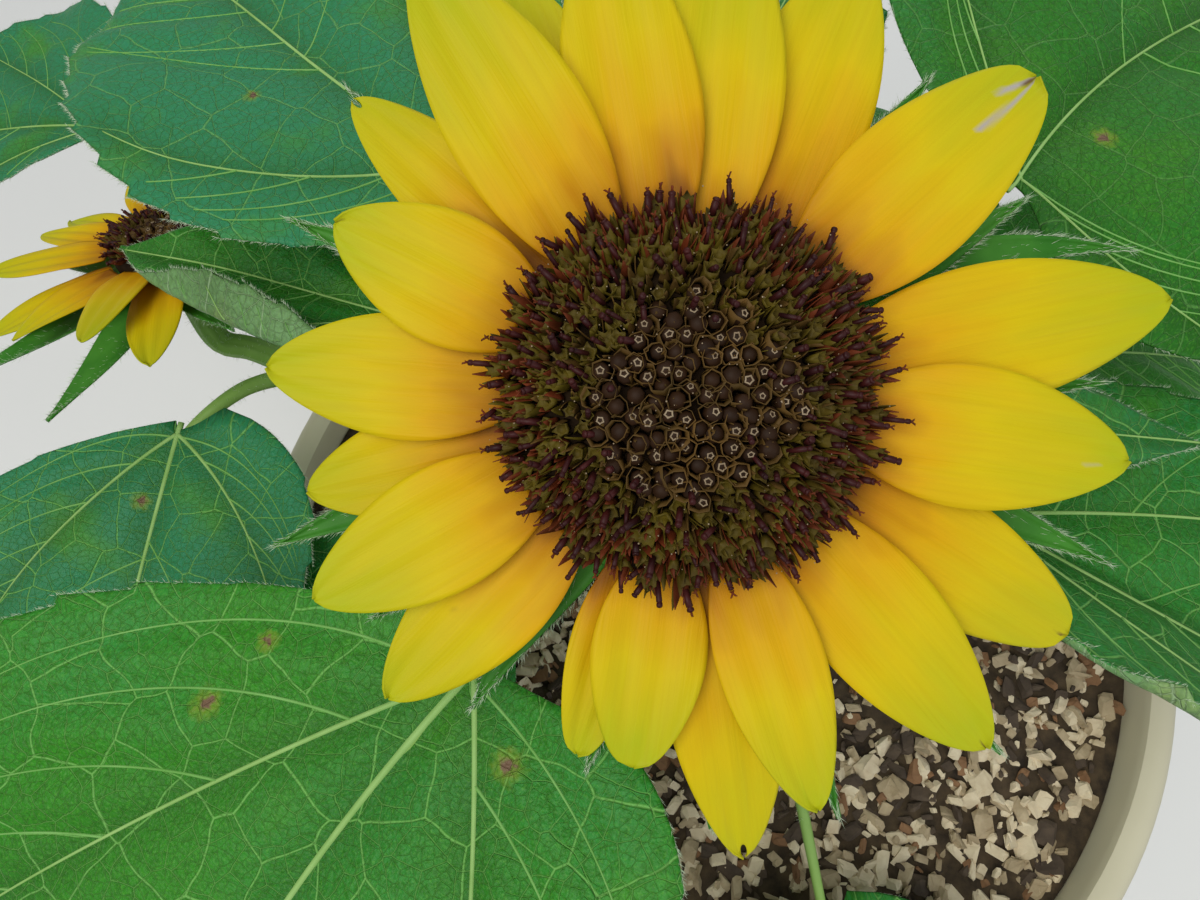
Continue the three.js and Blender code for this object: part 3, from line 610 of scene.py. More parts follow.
# Kind of chip, its share, two colours and roughness
CHIPS = [("cream", 0.36, (0.8, 0.7, 0.5), (0.6, 0.49, 0.32), 0.85),
         ("tan", 0.34, (0.52, 0.42, 0.27), (0.34, 0.26, 0.15), 0.85),
         ("rust", 0.12, (0.28, 0.15, 0.07), (0.18, 0.09, 0.04), 0.85),
         ("dark", 0.18, (0.1, 0.07, 0.045), (0.05, 0.035, 0.024), 0.9)]


# Leaves
def side_value(leaf, key, across):
    """What shapes the leaf on the side of across, which is below zero on the left."""
    return np.where(across < 0, leaf["left"].get(key, leaf[key]), leaf[key])


def leaf_half_width(leaf, along, across):
    half = side_value(leaf, "width", across) / 2
    back = np.clip((LEAF_WIDEST - along) / LEAF_WIDEST, 0, 1)
    onward = np.clip((along - LEAF_WIDEST) / (1 - LEAF_WIDEST), 0, 1)
    opened = 1 - (1 - side_value(leaf, "base", across)) * back**LEAF_BASE_CURVE
    foot = half * opened ** (1 / side_value(leaf, "round", across))
    tip = half * np.maximum(np.cos(math.pi / 2 * onward), 0) ** LEAF_TIP_CURVE
    return np.where(along < LEAF_WIDEST, foot, np.maximum(tip, SOLID_LEAF_THICK / 3))


def folded_margin(leaf, along, edge, half):
    """How far out and up a margin lies that is rolled over the upper face, and where it is rolled."""
    start = 1 - (1 - leaf["hem_start"]) * np.sin(math.pi * np.clip(along, 0, 1)) ** 0.6
    past = np.maximum(edge - start, 0) * half
    turn = np.minimum(past / HEM_RADIUS, math.pi)
    folded_back = past - turn * HEM_RADIUS
    out = start * half + HEM_RADIUS * np.sin(turn) - folded_back
    return out, HEM_RADIUS * (1 - np.cos(turn)) + HEM_SLOPE * folded_back, past > 0


def leaf_sheet(leaf, foot):
    """A function of (across, along) that gives points and normals of the blade's middle."""
    flat = heading(leaf["toward"] + leaf["turn"])
    side = np.cross(flat, UP)
    slope, bend, roll, fold = (math.radians(leaf[key]) for key in ("slope", "bend", "roll", "fold"))
    length, phase = leaf["length"], leaf["at"]

    def sheet(across, along):
        pitch = slope - bend * along
        run = length / bend * (math.sin(slope) - np.sin(pitch))
        rise = length / bend * (np.cos(pitch) - math.cos(slope))
        ahead = np.outer(np.cos(pitch), flat) + np.outer(np.sin(pitch), UP)
        above = np.cross(side, ahead)
        out = math.cos(roll) * side + math.sin(roll) * above
        normal = math.cos(roll) * above - math.sin(roll) * side
        edge, hand = np.abs(across), np.sign(across)
        half = leaf_half_width(leaf, along, across)
        lobe = side_value(leaf, "lobe", across) * length * edge**1.6 * (1 - along) ** 5
        wave = LEAF_WAVE * leaf["width"] * np.sin(3 * math.pi * along + phase) * edge**2
        ripple = RIPPLE_HEIGHT * np.sin(along * length / RIPPLE_LENGTH + phase * 0.7 + 2 * hand) * edge**4
        lift = edge * half * math.tan(fold) + (wave + ripple) * (1 - along) * along * 4
        hem_out, hem_up, rolled = folded_margin(leaf, along, edge, half)
        rolled = rolled & (hand == leaf["hem"])
        reach = np.where(rolled, hand * hem_out, across * half)
        lift = lift + np.where(rolled, hem_up, 0)
        point = foot + np.outer(run, flat) + np.outer(rise, UP) - ahead * lobe[:, None]
        return point + out * reach[:, None] + normal * lift[:, None], normal
    return sheet


def on_sheet(leaf, sheet, flat):
    """The sheet's points and normals at flat places in millimetres."""
    along = flat[:, 1] / leaf["length"]
    return sheet(flat[:, 0] / leaf_half_width(leaf, along, flat[:, 0]), along)


def flat_place(leaf, across, along):
    return np.column_stack([across * leaf_half_width(leaf, along, across), along * leaf["length"]])


def tooth_swell(leaf, along, hand):
    """How far the teeth stand out along a margin, as a share of the half width; none at foot and tip."""
    turn = along * leaf["length"] / TOOTH_PITCH + 0.3 * hand
    tooth = TOOTH_DEPTH * ((turn - np.floor(turn)) ** TOOTH_HOOK - 0.5)
    return tooth * np.clip(along * 6, 0, 1) * np.clip((1 - along) * 8, 0, 1)


def grown_vein(leaf, start, side, lean, straighten, reach, fence=None):
    """A flat path from start that leans off the midrib and bends back towards its line, up to the margin."""
    x, y = start
    path, walked = [(x, y)], 0.0
    while walked < reach:
        angle = math.radians(lean - straighten * walked / reach)
        x += side * VEIN_STEP * math.sin(angle)
        y += VEIN_STEP * math.cos(angle)
        walked += VEIN_STEP
        share = y / leaf["length"]
        if not 0.0 < share < 0.97 or abs(x) > VEIN_REACH * float(leaf_half_width(leaf, share, x)):
            break
        if fence is not None and abs(x) > np.interp(y, fence[:, 1], np.abs(fence[:, 0])) > 0:
            break
        path.append((x, y))
    return np.array(path)


def vein_plan(leaf):
    """The midrib and two strong laterals, then their branches: two lists of paths with their end widths."""
    length = leaf["length"]
    scale = min(1.0, leaf["width"] / FULL_VEINS) * leaf["vein"]

    def sized(path, kind, less=0.0):
        shrinks, least, end = VEIN_WIDTHS[kind]
        return path, (shrinks - less) * scale + least, end
    middle = np.linspace(-2, 0.975 * length, 90)
    share = np.clip(middle / length, 0, 1)
    sway = math.tan(math.radians(leaf["lean"])) * length * share * (1 - share) ** 2
    sway = sway + 0.006 * length * np.sin(7 * share + leaf["at"]) * np.sqrt(share)
    strong, branches = [sized(np.column_stack([sway, middle]), "midrib")], []
    for side, angle, straighten in zip((1, -1), leaf["spread"], leaf["bow"]):
        lateral = grown_vein(leaf, (0, 0.012 * length), side, angle, straighten, 0.9 * length)
        strong.append(sized(lateral, "lateral"))
        for k, share in enumerate(OUTER_VEINS_AT):
            root = lateral[int(share * (len(lateral) - 1))]
            outer = grown_vein(leaf, root, side, 80 - 6 * k, 62 - 5 * k, 0.62 * length * (1 - 0.5 * share))
            branches.append(sized(outer, "outer", 0.25 * share))
        first = INNER_VEINS["first"] + (INNER_VEINS["offset"] if side > 0 else 0)
        for k in range(INNER_VEINS["count"]):
            share = first + INNER_VEINS["step"] * k + 0.015 * math.sin(2.4 * k + leaf["at"])
            start = float(np.interp(share * length, middle, sway)), share * length
            arch = grown_vein(leaf, start, side, 52 + 7 * math.sin(1.9 * k + side), 30, 0.5 * length, lateral)
            branches.append(sized(arch, "inner", 0.05 * k))
    return [[vein for vein in group if len(vein[0]) > 8] for group in (strong, branches)]


def nearest_vein(points, veins):
    """How far each flat point is from the nearest vein."""
    stops = np.vstack([path for path, *_ in veins])
    nearest = np.full(len(points), 1e9)
    for chunk in np.array_split(stops, max(1, len(stops) // 200)):
        gap = points[:, None, :] - chunk[None]
        nearest = np.minimum(nearest, (gap**2).sum(axis=2).min(axis=1))
    return np.sqrt(nearest)


def vein_part(leaf, sheet, vein, bar):
    """A bar laid along a flat path, half sunk into the blade and tapered to its end."""
    path, wide, narrow = vein
    points, faces = bar
    walked = np.linspace(0, 1, len(path))
    flat, ahead = (rows_at(rows, walked, points[:, 2]) for rows in (path, np.gradient(path, axis=0)))
    middle, normal = on_sheet(leaf, sheet, flat)
    tangent = unit(on_sheet(leaf, sheet, flat + ahead * 0.2)[0] - middle)
    aside = unit(np.cross(normal, tangent))
    radius = (wide + (narrow - wide) * points[:, 2] ** 0.8) / 2
    height = np.where(points[:, 1] > 0, 0.26 + 0.2 * radius, 0.12 + 0.55 * radius) + LEAF_THICK / 2
    placed = middle + aside * (points[:, 0] * radius)[:, None] + normal * (points[:, 1] * height)[:, None]
    return placed, faces


RIB_BAR, TWIG_BAR, STALK_BAR = bar_shape(8, 60), bar_shape(6, 30), bar_shape(12, 40)


def make_leaf(leaf, stem_line):
    start = point_at_height(stem_line, leaf["at"])
    foot = start + heading(leaf["toward"], leaf["rise"]) * leaf["stalk"]
    knee = start + heading(leaf["toward"], leaf["rise"] + KNEE_CLIMB) * leaf["stalk"] * KNEE_AT
    sheet = leaf_sheet(leaf, foot)
    strong, branches = vein_plan(leaf)

    def quilted(across, along):
        """The sheet with its surface swollen between the veins."""
        middle, normal = sheet(across, along)
        flat = flat_place(leaf, across, along)
        near, near_strong = nearest_vein(flat, strong + branches), nearest_vein(flat, strong)
        swell = 1 - np.exp(-((near / QUILT["near_vein"]) ** 2))
        swell = swell * (QUILT["low"] + QUILT["high"] * (1 - np.exp(-near_strong / QUILT["near_strong"])))
        return middle + normal * (swell * np.clip(1 - across**6, 0, 1))[:, None], normal

    columns = int(leaf["width"] / (HEM_MESH_STEP if leaf["hem"] else MESH_STEP))
    across, along, faces = sheet_shape(columns, int(leaf["length"] / MESH_STEP))
    toothed = 1 + tooth_swell(leaf, along, np.sign(across)) * np.abs(across) ** 7
    middle, _ = quilted(across * toothed, along)
    flat = flat_place(leaf, across, along)
    # the cool mark is how much painted bluish sky reflection lies over this leaf
    marks = {"cool": np.full(len(across), leaf["cool"]), "net": np.full(len(across), leaf["vein"]),
             # painted shade along the strong veins, plus the leaf's dark share evenly over the whole blade
             "valley": PAINTED_SHADE_DEPTH * np.exp(-nearest_vein(flat, strong) / PAINTED_SHADE_REACH) + leaf["dark"]}
    blade = make_piece(leaf["name"] + "_blade", [(middle, faces)], [LEAF_TOP, LEAF_BACK],
                       [leaf["name"]], uv=flat / 100 + uv_shift(leaf), marks=marks)
    apply(blade, "SOLIDIFY", thickness=LEAF_THICK * MM, offset=0, material_offset=1)
    ribs = [vein_part(leaf, quilted, vein, RIB_BAR) for vein in strong]
    make_piece(leaf["name"] + "_ribs", ribs, [VEIN])
    twigs = [vein_part(leaf, quilted, vein, TWIG_BAR) for vein in branches]
    make_piece(leaf["name"] + "_veins", twigs, [FINE_VEIN])

    midrib = strong[0][0]
    rib_at = np.array(RIB_AT) * leaf["length"]
    under = np.column_stack([np.interp(rib_at, midrib[:, 1], midrib[:, 0]), rib_at])
    points, ups = on_sheet(leaf, sheet, under)
    stalk_line = smooth_line([start, knee, *(points - ups * RIB_DROP)])
    radius = STALK_RADIUS * min(1, leaf["length"] / FULL_STALK)

    def stalk_radius(share, angle=0.0):
        tapered = (1 - STALK_TAPER * share) * np.minimum(1, (1.03 - share) * 6)
        return radius * tapered * (1 + 0.05 * np.cos(5 * angle))
    make_piece(leaf["name"] + "_stalk", [tube(STALK_BAR, stalk_line, stalk_radius)], [STALK])
    add_stem_hairs(stalk_line, stalk_radius, int(leaf["stalk"] * STALK_HAIRS), 1.6, 0.04, 0.62)

    count = int(leaf["length"] * MARGIN_HAIRS)
    share = chance.uniform(0.01, 0.99, count)
    hand = chance.choice([-1.0, 1.0], count)
    reach = hand * (1 + tooth_swell(leaf, share, hand))
    roots, up = sheet(reach, share)
    out = unit(roots - sheet(reach * 0.93, share - 0.01)[0])
    directions = unit(out + up * chance.normal(0.2, 0.5, (count, 1)) + chance.normal(0, 0.35, (count, 3)))
    all_hairs["leaf"].append((roots, directions, chance.uniform(0.5, 1.6, count)))


# Heads
def radial_sheet(at, start, reach, height, pitch, arch, cup, half_width):
    """A function of (across, along) for a blade that grows out of a head, and the blade's length."""
    out, side = heading(at), np.cross(heading(at), UP)
    pitch, arch = math.radians(pitch), math.radians(arch)

    def line(share, length):
        angle = pitch - arch * share
        run, rise = math.sin(pitch) - np.sin(angle), np.cos(angle) - math.cos(pitch)
        return length / arch * run, length / arch * rise, angle
    length = (reach - start) / line(1.0, 1.0)[0]

    def sheet(across, along):
        run, rise, angle = line(along, length)
        normal = np.outer(np.cos(angle), UP) - np.outer(np.sin(angle), out)
        point = np.outer(start + run, out) + np.outer(height + rise, UP)
        point = point + np.outer(across * half_width(along), side)
        return point + normal * (cup * across**2)[:, None], normal
    return sheet, length


def onto_head(part, head):
    """Turns and moves a part from the head's own place, with its axis up, to where the head is."""
    turn = np.array(Vector((0, 0, 1)).rotation_difference(Vector(head["facing"])).to_matrix())
    return part[0] @ turn.T + head["centre"], part[1]


def nearness(across, along, streak):
    """How strongly a streak, from one (across, along) to another and this wide, shows at each point."""
    start, end, wide = streak
    a, b = np.array(start) * (1, 3), np.array(end) * (1, 3)
    place = np.column_stack([across, along * 3])
    share = np.clip(((place - a) @ (b - a)) / ((b - a) @ (b - a)), 0, 1)
    gap = np.linalg.norm(place - a - np.outer(share, b - a), axis=1)
    return np.clip(1.4 - gap / wide, 0, 0.9)


def make_petals(head, petals, streaks=(), notched=(), blunt=()):
    """All ray petals of a head as one piece, each softly folded, and some bruised, notched or blunt."""
    across, along, faces = sheet_shape(PETAL["columns"], PETAL["rows"])
    parts, flats, marks = [], [], {"along": [], "bruise": [], "brown": []}
    body = np.sin(math.pi * np.clip(along * 0.92 + 0.04, 0, 1))
    for i, (at, reach, width, layer) in enumerate(petals):
        def half_width(share):
            swell = np.sin(math.pi * (PETAL["neck"] + (1 - PETAL["neck"]) * share))
            fullness = PETAL["fullness"] - (0.3 if i in blunt else 0.15) * share**2
            return np.maximum(width / 2 * np.maximum(swell, 0) ** fullness, 0.25)
        height, pitch = PETAL["back"] + PETAL["step"] * layer, PETAL["pitch"] + PETAL["pitch_step"] * layer
        sheet, length = radial_sheet(at, head["disk"] + PETAL["foot"], reach, height, pitch, PETAL["arch"],
                                     PETAL["cup"], half_width)
        cut = PETAL["notch"] * np.exp(-(across / 0.35) ** 2) * along**12 if i in notched else 0
        points, normal = sheet(across, along - cut)
        phase = 1.7 * i
        folds = PETAL["fold"] * np.cos(3 * math.pi * across + 0.5 * math.sin(phase)) * body
        ripples = PETAL["ripple"] * np.cos(11 * math.pi * across + phase) * body
        wave = PETAL["wave"] * np.sin(5.5 * along + phase + across) * across**2 * np.clip(along * 3, 0, 1)
        parts.append((points + normal * (folds + ripples + wave)[:, None], faces))
        flat = np.column_stack([across * half_width(along), along * length])
        flats.append(flat / 100 + (0.37 * i, 0.61 * i))
        marks["along"].append(along + 0.07 * math.sin(2.3 * i + 1))
        for kind in ("bruise", "brown"):
            mine = [nearness(across, along, streak[2:]) for streak in streaks if streak[:2] == (i, kind)]
            marks[kind].append(np.max(mine, axis=0) if mine else np.zeros(len(across)))
    nodes = [f"{head['name']}_petal_{i + 1:02d}" for i in range(len(petals))]
    marks = {kind: np.concatenate(values) for kind, values in marks.items()}
    piece = make_piece(head["name"] + "_ray_petals", [onto_head(part, head) for part in parts],
                       [PETAL_YELLOW], nodes, uv=np.vstack(flats), marks=marks)
    apply(piece, "SOLIDIFY", thickness=PETAL["thick"] * MM, offset=0)


# The cup's outline, as shares of its rim and of its depth
CUP_CURVE = ((0.3, 1), (0.42, 0.93), (0.55, 0.8), (0.72, 0.65), (0.86, 0.5), (0.95, 0.36))


def make_calyx(head, bract_tips):
    """The green cup under a head, and its pointed bracts with their hairs."""
    rim, depth = head["disk"] + CUP_OVERHANG, head["cup"]
    profile = [(0, -depth), *((rim * out, -depth * down) for out, down in CUP_CURVE), (rim, BRACT["top"]),
               (rim - 1, CUP_LID), (0, CUP_LID)]
    cup = onto_head(turned_shape(profile, head["sides"]), head)
    make_piece(head["name"] + "_cup", [cup], [BRACT_GREEN], [head["name"] + "_calyx"])

    def half_width(share):
        belly = 0.82 + 0.9 * share * (1 - share)
        return np.maximum(head["bract"] / 2 * np.maximum(1 - share, 0) ** BRACT["taper"] * belly, 0.15)
    across, along, faces = sheet_shape(BRACT["columns"], BRACT["rows"])
    blades = []
    for i, (at, reach) in enumerate(bract_tips):
        outer = i % 2
        height = BRACT["top"] - BRACT["sink"] - outer * BRACT["drop"]
        pitch = BRACT["pitch"] - BRACT["pitch_step"] * outer
        sheet, _ = radial_sheet(at, rim - BRACT["inset"], reach, height, pitch, -BRACT["curl"], BRACT["cup"],
                                half_width)
        swing = BRACT_SWING.get(at, 1.5 * math.sin(3.1 * i))

        def swung(across, along):
            points, normal = sheet(across, along)
            return points + np.outer(4 * along * (1 - along) * swing, np.cross(UP, heading(at))), normal
        points, normal = swung(across, along)
        points = points + normal * (0.3 * np.cos(2 * math.pi * across) * (1 - along))[:, None]
        blades.append(onto_head((points, faces), head))
        count = int(reach * BRACT_HAIRS)
        share = chance.uniform(0.02, 1, count)
        hand = chance.choice([-1.0, 1.0], count)
        hand = hand * np.where(chance.uniform(0, 1, count) < 0.7, 1, chance.uniform(0, 1, count))
        roots, up = swung(hand, share)
        out = unit(roots - swung(hand * 0.8 - 0.01, share - 0.02)[0])
        out = unit(out + up * chance.normal(0.35, 0.5, (count, 1)) + chance.normal(0, 0.3, (count, 3)))
        ends, _ = onto_head((roots + out, ()), head)
        roots, _ = onto_head((roots, ()), head)
        all_hairs["bract"].append((roots, unit(ends - roots), chance.uniform(0.8, 2.2, count)))
    piece = make_piece(head["name"] + "_bracts", blades, [BRACT_GREEN])
    apply(piece, "SOLIDIFY", thickness=BRACT["thick"] * MM, offset=0)


# Parts of a floret, each from a bar, ring or grid of radius 1
def rod(sides, edit, **settings):
    return shaped(bpy.ops.mesh.primitive_cylinder_add, edit, vertices=sides, radius=1, depth=1, **settings)


def select_top(thing):
    select(thing, "faces", lambda face: face.normal.z > 0.5)


def stepped(*steps):
    """Lifts and scales the top of a rod, step by step."""
    def edit(thing):
        select_top(thing)
        for height, scale in steps:
            bpy.ops.mesh.extrude_region_move(TRANSFORM_OT_translate={"value": (0, 0, height)})
            bpy.ops.transform.resize(value=(scale, scale, 1))
    return edit


def moved(place, wall=0):
    """Moves the points to place(x, y, z), and gives an open shape its wall."""
    def edit(thing):
        move_points(thing, place)
        if wall:
            bpy.ops.mesh.select_all(action="SELECT")
            bpy.ops.mesh.solidify(thickness=wall)
    return edit


def five_lobes(x, y, z):
    lobe = math.cos(5 * math.atan2(y, x))
    return x * (1 + 0.14 * lobe), y * (1 + 0.14 * lobe), z * (1 + 0.7 * lobe)


def curled(x, y, z):
    return x + 0.9 * (z + 0.5) ** 2, y, z


def pointed(x, y, z):
    along = y / 2 + 0.5
    x *= 1 - 0.94 * along**1.8
    return x, y, 0.35 * x**2 + 0.25 * along**2


def ragged(x, y, z):
    if z < 0:
        return x, y, z
    angle = math.atan2(y, x)
    size = 1.18 + 0.12 * math.cos(3 * angle)
    return x * size, y * size, z + 0.06 * math.cos(2 * angle + 1)


def slim_foot(x, y, z):
    return (x * 0.7, y * 0.7, z) if z < -0.4 else (x, y, z)


def flared(thing):
    """Hollows a rod and flares its rim into five pointed lobes."""
    select_top(thing)
    bpy.ops.mesh.inset(thickness=0.3)
    bpy.ops.transform.translate(value=(0, 0, -0.3))
    edit = bmesh.from_edit_mesh(thing.data)
    rim = sorted((v for v in edit.verts if v.co.z > 0.49), key=lambda v: math.atan2(v.co.y, v.co.x))
    for k, vertex in enumerate(rim):
        size, rise = (1.25, 0.1) if k % 2 else (0.78, -0.06)
        vertex.co = (vertex.co.x * size, vertex.co.y * size, vertex.co.z + rise)
    bmesh.update_edit_mesh(thing.data)
    move_points(thing, slim_foot)


BUD_SHAPE = rod(8, stepped((0.06, 0.88), (0.08, 0.72), (0.07, 0.55)))
RING_SHAPE = shaped(bpy.ops.mesh.primitive_torus_add, moved(five_lobes), major_segments=10, minor_segments=4,
                    major_radius=0.72, minor_radius=0.22)
ANTHER_SHAPE = rod(6, stepped((0.02, 0.7), (0.1, 1.5), (0.14, 0.95), (0.06, 0.5)))
HORN_SHAPE = rod(4, moved(curled))
TUBE_SHAPE = rod(10, flared)
CHAFF_SHAPE = shaped(bpy.ops.mesh.primitive_grid_add, moved(pointed, wall=0.12), x_subdivisions=2,
                     y_subdivisions=4, size=2)
COLLAR_SHAPE = rod(7, moved(ragged, wall=0.07), end_fill_type="NOTHING")
GRAIN_SHAPE = shaped(bpy.ops.mesh.primitive_ico_sphere_add, subdivisions=1, radius=1)


def make_disk(head):
    """The bed of the disk and its florets, in the spiral that seeds grow in."""
    brim, wall, dome, drop = head["brim"], head["wall"], head["dome"], head["bed_drop"]

    def bed_height(radius):
        return wall + (dome - wall) * (1 - (radius / brim) ** 2) - drop
    bottom, side = CUP_LID + GAP, head["disk"] - GAP
    bed = [(0, bottom), (side, bottom), (side, 0.5)]
    bed += [(brim * share * 0.9, bed_height(brim * share)) for share in np.linspace(1, 0.06, 12)]
    bed = onto_head(turned_shape([*bed, (0, dome - drop)], head["sides"]), head)
    make_piece(head["name"] + "_floret_bed", [bed], [FLORET_BED], [head["name"] + "_disk"])

    count = head["florets"]
    order = np.arange(count) + 0.5
    share = np.sqrt(order / count)
    angle = order * SEED_TURN
    radius = share * (brim - DISK["margin"])
    spacing = (brim - DISK["margin"]) * math.sqrt(math.pi / count)
    out = np.column_stack([np.cos(angle), np.sin(angle), np.zeros(count)])
    seat = out * radius[:, None] + UP * (bed_height(radius) - GAP)[:, None]
    seat = seat + chance.normal(0, DISK["jitter"], (count, 3))
    tilt = np.radians(DISK["tilt"] + DISK["outer_tilt"] * share**2.5)[:, None]
    axis = unit(out * np.sin(tilt) + UP * np.cos(tilt) + chance.normal(0, DISK["sway"], (count, 3)))
    spin = chance.uniform(0, 2 * math.pi, count)
    ripe = share + chance.normal(0, 0.09, count)
    is_bud = ripe < DISK["bud_until"]
    tall = drop + chance.normal(0.1, 0.25, count) + np.where(is_bud, 0, 0.2)

    def add(name, finish, part):
        make_piece(f"{head['name']}_floret_{name}", [onto_head(part, head)], [finish])

    def between(chosen, low, high):
        return chance.uniform(low, high, chosen.sum())

    def around(chosen, middle, spread):
        return middle * between(chosen, 1 - spread, 1 + spread)

    def swayed(chosen, spread):
        return chance.normal(0, spread, (chosen.sum(), 3))

    def stood(shape, chosen, wide, height, lean, foot=0):
        """Copies of a shape on the chosen seats, or foot above them, and where their tops are."""
        directions = unit(axis[chosen] + lean)
        xs, ys = axes_along(directions, spin[chosen])
        wide, height, foot = (np.reshape(size, (-1, 1)) for size in (wide, height, foot))
        tops = seat[chosen] + axis[chosen] * foot + directions * height
        return copies(shape, tops - directions * height / 2, xs * wide, ys * wide, directions * height), tops

    buds, bud_tops = stood(BUD_SHAPE, is_bud, around(is_bud, spacing * 0.49, 0.1), tall[is_bud] * 0.84,
                           swayed(is_bud, 0.06))
    add("buds", BUD, buds)
    wrapped = is_bud & (chance.uniform(0, 1, count) < DISK["collared"])
    collars, _ = stood(COLLAR_SHAPE, wrapped, around(wrapped, spacing * 0.55, 0.12),
                       around(wrapped, drop * 1.05, 0.15), swayed(wrapped, 0.14))
    add("collars", CHAFF_BROWN, collars)
    ringed = between(is_bud, 0, 1) < np.clip(0.95 - 1.1 * share[is_bud], 0, 1)
    facing = unit(axis[is_bud][ringed] + swayed(ringed, 0.15))
    xs, ys = axes_along(facing, spin[is_bud][ringed])
    size = between(ringed, 0.5, 0.75)[:, None]
    rings = bud_tops[ringed] + facing * tall[is_bud][ringed, None] * 0.2
    squeezed = between(ringed, 0.75, 1)[:, None]
    add("rings", BUD_RING, copies(RING_SHAPE, rings, xs * size, ys * size * squeezed, facing * size))

    flowering = ~is_bud
    tubes, _ = stood(TUBE_SHAPE, flowering, around(flowering, spacing * 0.4, 0.25),
                     tall[flowering] * between(flowering, 0.8, 1.08), swayed(flowering, 0.16))
    add("tubes", FLORET_TUBE, tubes)
    rods = (ripe > DISK["rods_from"]) & (chance.uniform(0, 1, count) < 0.62 + 0.38 * share**3)
    outward = 0.25 + 1.1 * np.clip((share[rods] - 0.5) / 0.5, 0, 1)[:, None]
    lean = out[rods] * outward + swayed(rods, 0.4)
    anthers, tips = stood(ANTHER_SHAPE, rods, around(rods, 0.44, 0.25), around(rods, 2.2, 0.35), lean,
                          tall[rods] - 0.7)
    add("anthers", ANTHER, anthers)
    forked = (between(rods, 0, 1) < DISK["forked"]) & (share[rods] > DISK["forked_from"])
    onward = unit(axis[rods] + lean)[forked]
    xs, ys = axes_along(onward, between(forked, 0, math.pi))
    horns = []
    for hand in (-1, 1):
        length = between(forked, 0.7, 1.2)[:, None]
        origins = tips[forked] + onward * (0.55 + length / 2)
        thin, bent = 0.17 * hand, unit(onward + xs * hand * 0.5)
        horns.append(copies(HORN_SHAPE, origins, xs * thin, ys * thin, bent * length))
    add("styles", CHAFF_RED, joined(horns))

    # Dry scales: finish, which florets have them, how far they stand out, and their turns round the floret
    scales = {"chaff_brown": (CHAFF_BROWN, ripe < 0.8, 0.5, (0.0, 2.4)),
              "chaff_olive": (FLORET_TUBE, flowering, 0.6, (1.0, 3.2)),
              "chaff_red": (CHAFF_RED, share > 0.72, 1.1, (0.0, 1.6, 3.4))}
    for name, (finish, chosen, extra, turns) in scales.items():
        for turn in turns:
            half = (tall[chosen] + extra * between(chosen, 0.1, 1.5))[:, None] / 2
            directions = unit(axis[chosen] + out[chosen] * 0.2 + swayed(chosen, 0.2))
            away, beside = axes_along(axis[chosen], spin[chosen] + turn)
            origins = seat[chosen] + away * spacing * 0.5 + directions * half
            add(f"{name}_{int(turn)}", finish,
                copies(CHAFF_SHAPE, origins, beside * spacing * 0.34, directions * half, -away * 0.9))
    grains = chance.integers(0, count, int(count * DISK["pollen"]))
    spread = chance.normal(0, 1, (len(grains), 3)) * (1.1, 1.1, 0.25)
    places = seat[grains] + axis[grains] * (tall[grains] * 1.02)[:, None] + spread
    size = chance.uniform(0.07, 0.15, len(grains))[:, None]
    add("pollen", BUD_RING, copies(GRAIN_SHAPE, places, *(size * way for way in np.eye(3))))


# Pot and mix
def wall_radius(height):
    shoulder = POT["rim"] - POT["lip_width"] + POT["wall"]
    return POT["base"] + (shoulder - POT["base"]) * height / LIP_FOOT


MIX_RADIUS = wall_radius(LIP_FOOT) - POT["wall"] - GAP


def make_pot():
    height, rim, foot = POT["height"], POT["rim"], POT["foot"]
    inner_rim = rim - POT["lip_width"]
    profile = [(0, 0), (wall_radius(0) - foot, 0), (wall_radius(1) - 1, 1)]
    profile += [(wall_radius(up), up) for up in (foot, 60, 120, 180, LIP_FOOT)]
    profile += [(rim - 1, LIP_FOOT + 1.5), (rim, LIP_FOOT + 4), (rim, height - 4), (rim - 0.5, height - 2),
                (rim - 1.8, height - 0.6), (rim - 3.6, height), (inner_rim + 3, height),
                (inner_rim + 1, height - 0.8), (inner_rim, height - 3)]
    profile += [(wall_radius(up) - POT["wall"], up) for up in (LIP_FOOT, 120, POT["floor"])]
    pot = turned("beige_pot", [*profile, (0, POT["floor"])], POT["sides"])
    for i in range(DRAIN["count"]):
        deselect()
        bpy.ops.mesh.primitive_cylinder_add(
            vertices=DRAIN["sides"], radius=DRAIN["radius"] * MM, depth=DRAIN["depth"] * MM,
            location=heading(360 / DRAIN["count"] * i) * DRAIN["ring"] * MM)
        cutter = bpy.context.active_object
        apply(pot, "BOOLEAN", object=cutter, operation="DIFFERENCE", solver="EXACT")
        bpy.data.objects.remove(cutter)
    choose(pot)
    bpy.ops.object.shade_smooth_by_angle(angle=math.radians(35))
    pot.data.materials.append(POT_BEIGE)
    finish_piece(pot, ["pot"])


def crowned(share):
    """The height of the mix at a share of its radius."""
    return MIX["crown"] - (MIX["crown"] - MIX["edge"]) * share**2


def mix_lumps(x, y):
    """Soft lumps of the mix's top, how freely it may swell there, and how far it is from the stem's foot."""
    calm = np.clip((MIX_RADIUS - np.hypot(x, y)) / MIX["calm"], 0, 1)
    lumps = MIX["lump"] * np.sin(x / 11 + 1) * np.cos(y / 9)
    return lumps, calm, np.hypot(x - MAIN_FOOT[0], y - MAIN_FOOT[1])


